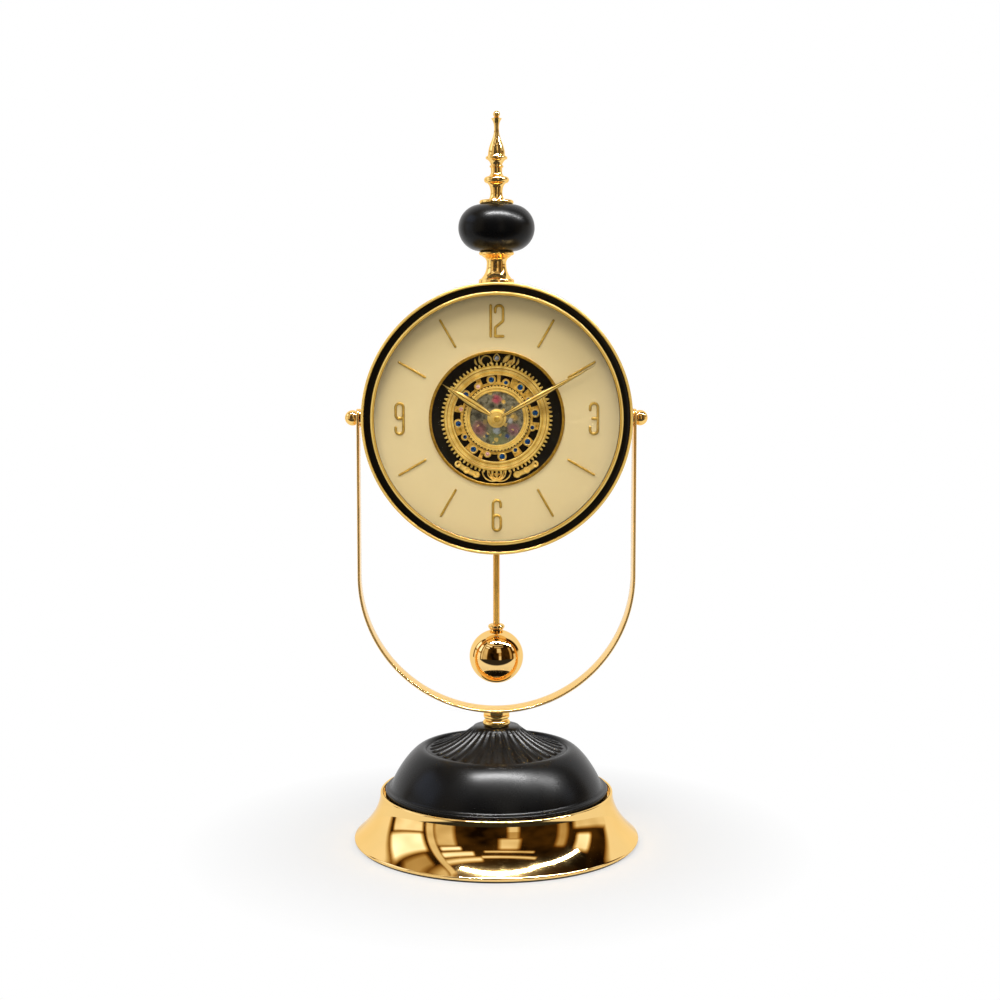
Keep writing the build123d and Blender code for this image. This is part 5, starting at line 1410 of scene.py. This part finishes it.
def makeFloor(s):
    # Floor: one flat sheet under the pad. To the camera it blends from its own
    # shaded surface near the foot to plain white further out, by distance from
    # the middle; metal sees it white up to the front edge and dim beyond it.
    mesh = bpy.data.meshes.new("floor")
    half = s.half
    corners = [(-half, -half, 0), (half, -half, 0), (half, half, 0), (-half, half, 0)]
    mesh.from_pydata(corners, [], [(0, 1, 2, 3)])
    sheet = bpy.data.objects.new("floor", mesh)
    bpy.context.scene.collection.objects.link(sheet)
    finish = newFinish("pale floor")
    spot = finish.spot()
    away = finish.add("ShaderNodeVectorMath", {"operation": "LENGTH"}, {0: spot}, "Value")
    cloud = finish.noise(spot, scale=8.0)
    paper = finish.add("ShaderNodeBsdfDiffuse", None, {
        "Color": finish.blend(cloud, grey(s.shade), grey(s.pale))})
    camera, glossy, through = (finish.ray(kind) for kind in ("Camera", "Glossy", "Transmission"))
    near = finish.clamp(finish.part(spot, "Y"), s.frontEdge - s.softEdge, s.frontEdge + s.softEdge)
    white = finish.add("ShaderNodeEmission", None, {
        "Color": finish.blend(camera.most(near), grey(s.beyond), grey(1.0)), "Strength": 1.0})
    lift = finish.clamp(away, *s.reach) * (1 - s.nearLift) + s.nearLift
    lift = lift.most((1.0 - near) * (1.0 - camera))
    mesh.materials.append(finish.closeMixed(camera.most(glossy.most(through)) * lift, paper, white))


makeFloor(floor)

# name, both ends of the long side, aim, depth, power, seen by polished surfaces, lights dull ones
lamps = (
    ("overhead strip", (-0.9, -0.76, 2.4), (1.2, -0.76, 2.4), (0, 0, 0.2), 0.07, 235, True, False),
    ("side strip", (1.2, -0.76, 2.4), (1.9, -0.15, 1.5), (0, 0, 0.2), 0.12, 55, True, False),
    ("high fill", (-0.7, -1.0, 1.5), (0.2, -1.0, 1.5), (0, 0, 0.25), 0.6, 22, False, True),
    ("front fill", (-0.7, -1.3, 0.5), (0.1, -1.3, 0.5), (0, 0, 0.25), 0.4, 3.2, False, True),
)


def addLamps():
    # Each lamp is a rectangle whose long side runs between
    # its two ends and whose face looks at its aim.
    for name, first, last, aim, depth, power, gloss, dull in lamps:
        first, last = np.array(first), np.array(last)
        middle, length = (first + last) / 2, np.linalg.norm(last - first)
        along = (last - first) / length
        back = middle - np.array(aim)
        back -= along * (along @ back)
        back /= np.linalg.norm(back)
        lamp = bpy.data.lights.new(name, "AREA")
        lamp.shape, lamp.size, lamp.size_y, lamp.energy = "RECTANGLE", length, depth, power
        holder = bpy.data.objects.new(name, lamp)
        facing = Matrix(np.stack([along, np.cross(back, along), back], 1).tolist())
        holder.matrix_world = Matrix.LocRotScale(Vector(middle), facing.to_quaternion(), None)
        holder.visible_glossy = holder.visible_transmission = gloss
        holder.visible_diffuse = dull
        bpy.context.scene.collection.objects.link(holder)


addLamps()

view = Sizes(
    lens=59.76, sensor=36.0, away=1032.1, height=317.1, pitch=5.56, bearing=-1.0, shift=0.0035)


def addCamera(s):
    # Camera: on a circle about the clock, at its bearing
    # and height, facing the axis and then pitched down.
    camera = bpy.data.cameras.new("camera")
    camera.lens, camera.sensor_width, camera.shift_x = s.lens, s.sensor, s.shift
    camera.sensor_fit = "HORIZONTAL"
    holder = bpy.data.objects.new("camera", camera)
    turn = math.radians(s.bearing)
    holder.location = (s.away * math.sin(turn) * mm, -s.away * math.cos(turn) * mm, s.height * mm)
    holder.rotation_euler = (math.radians(90 - s.pitch), 0.0, turn)
    bpy.context.scene.collection.objects.link(holder)
    bpy.context.scene.camera = holder


addCamera(view)
bpy.context.scene.view_settings.view_transform = "Standard"
print("studio ready")
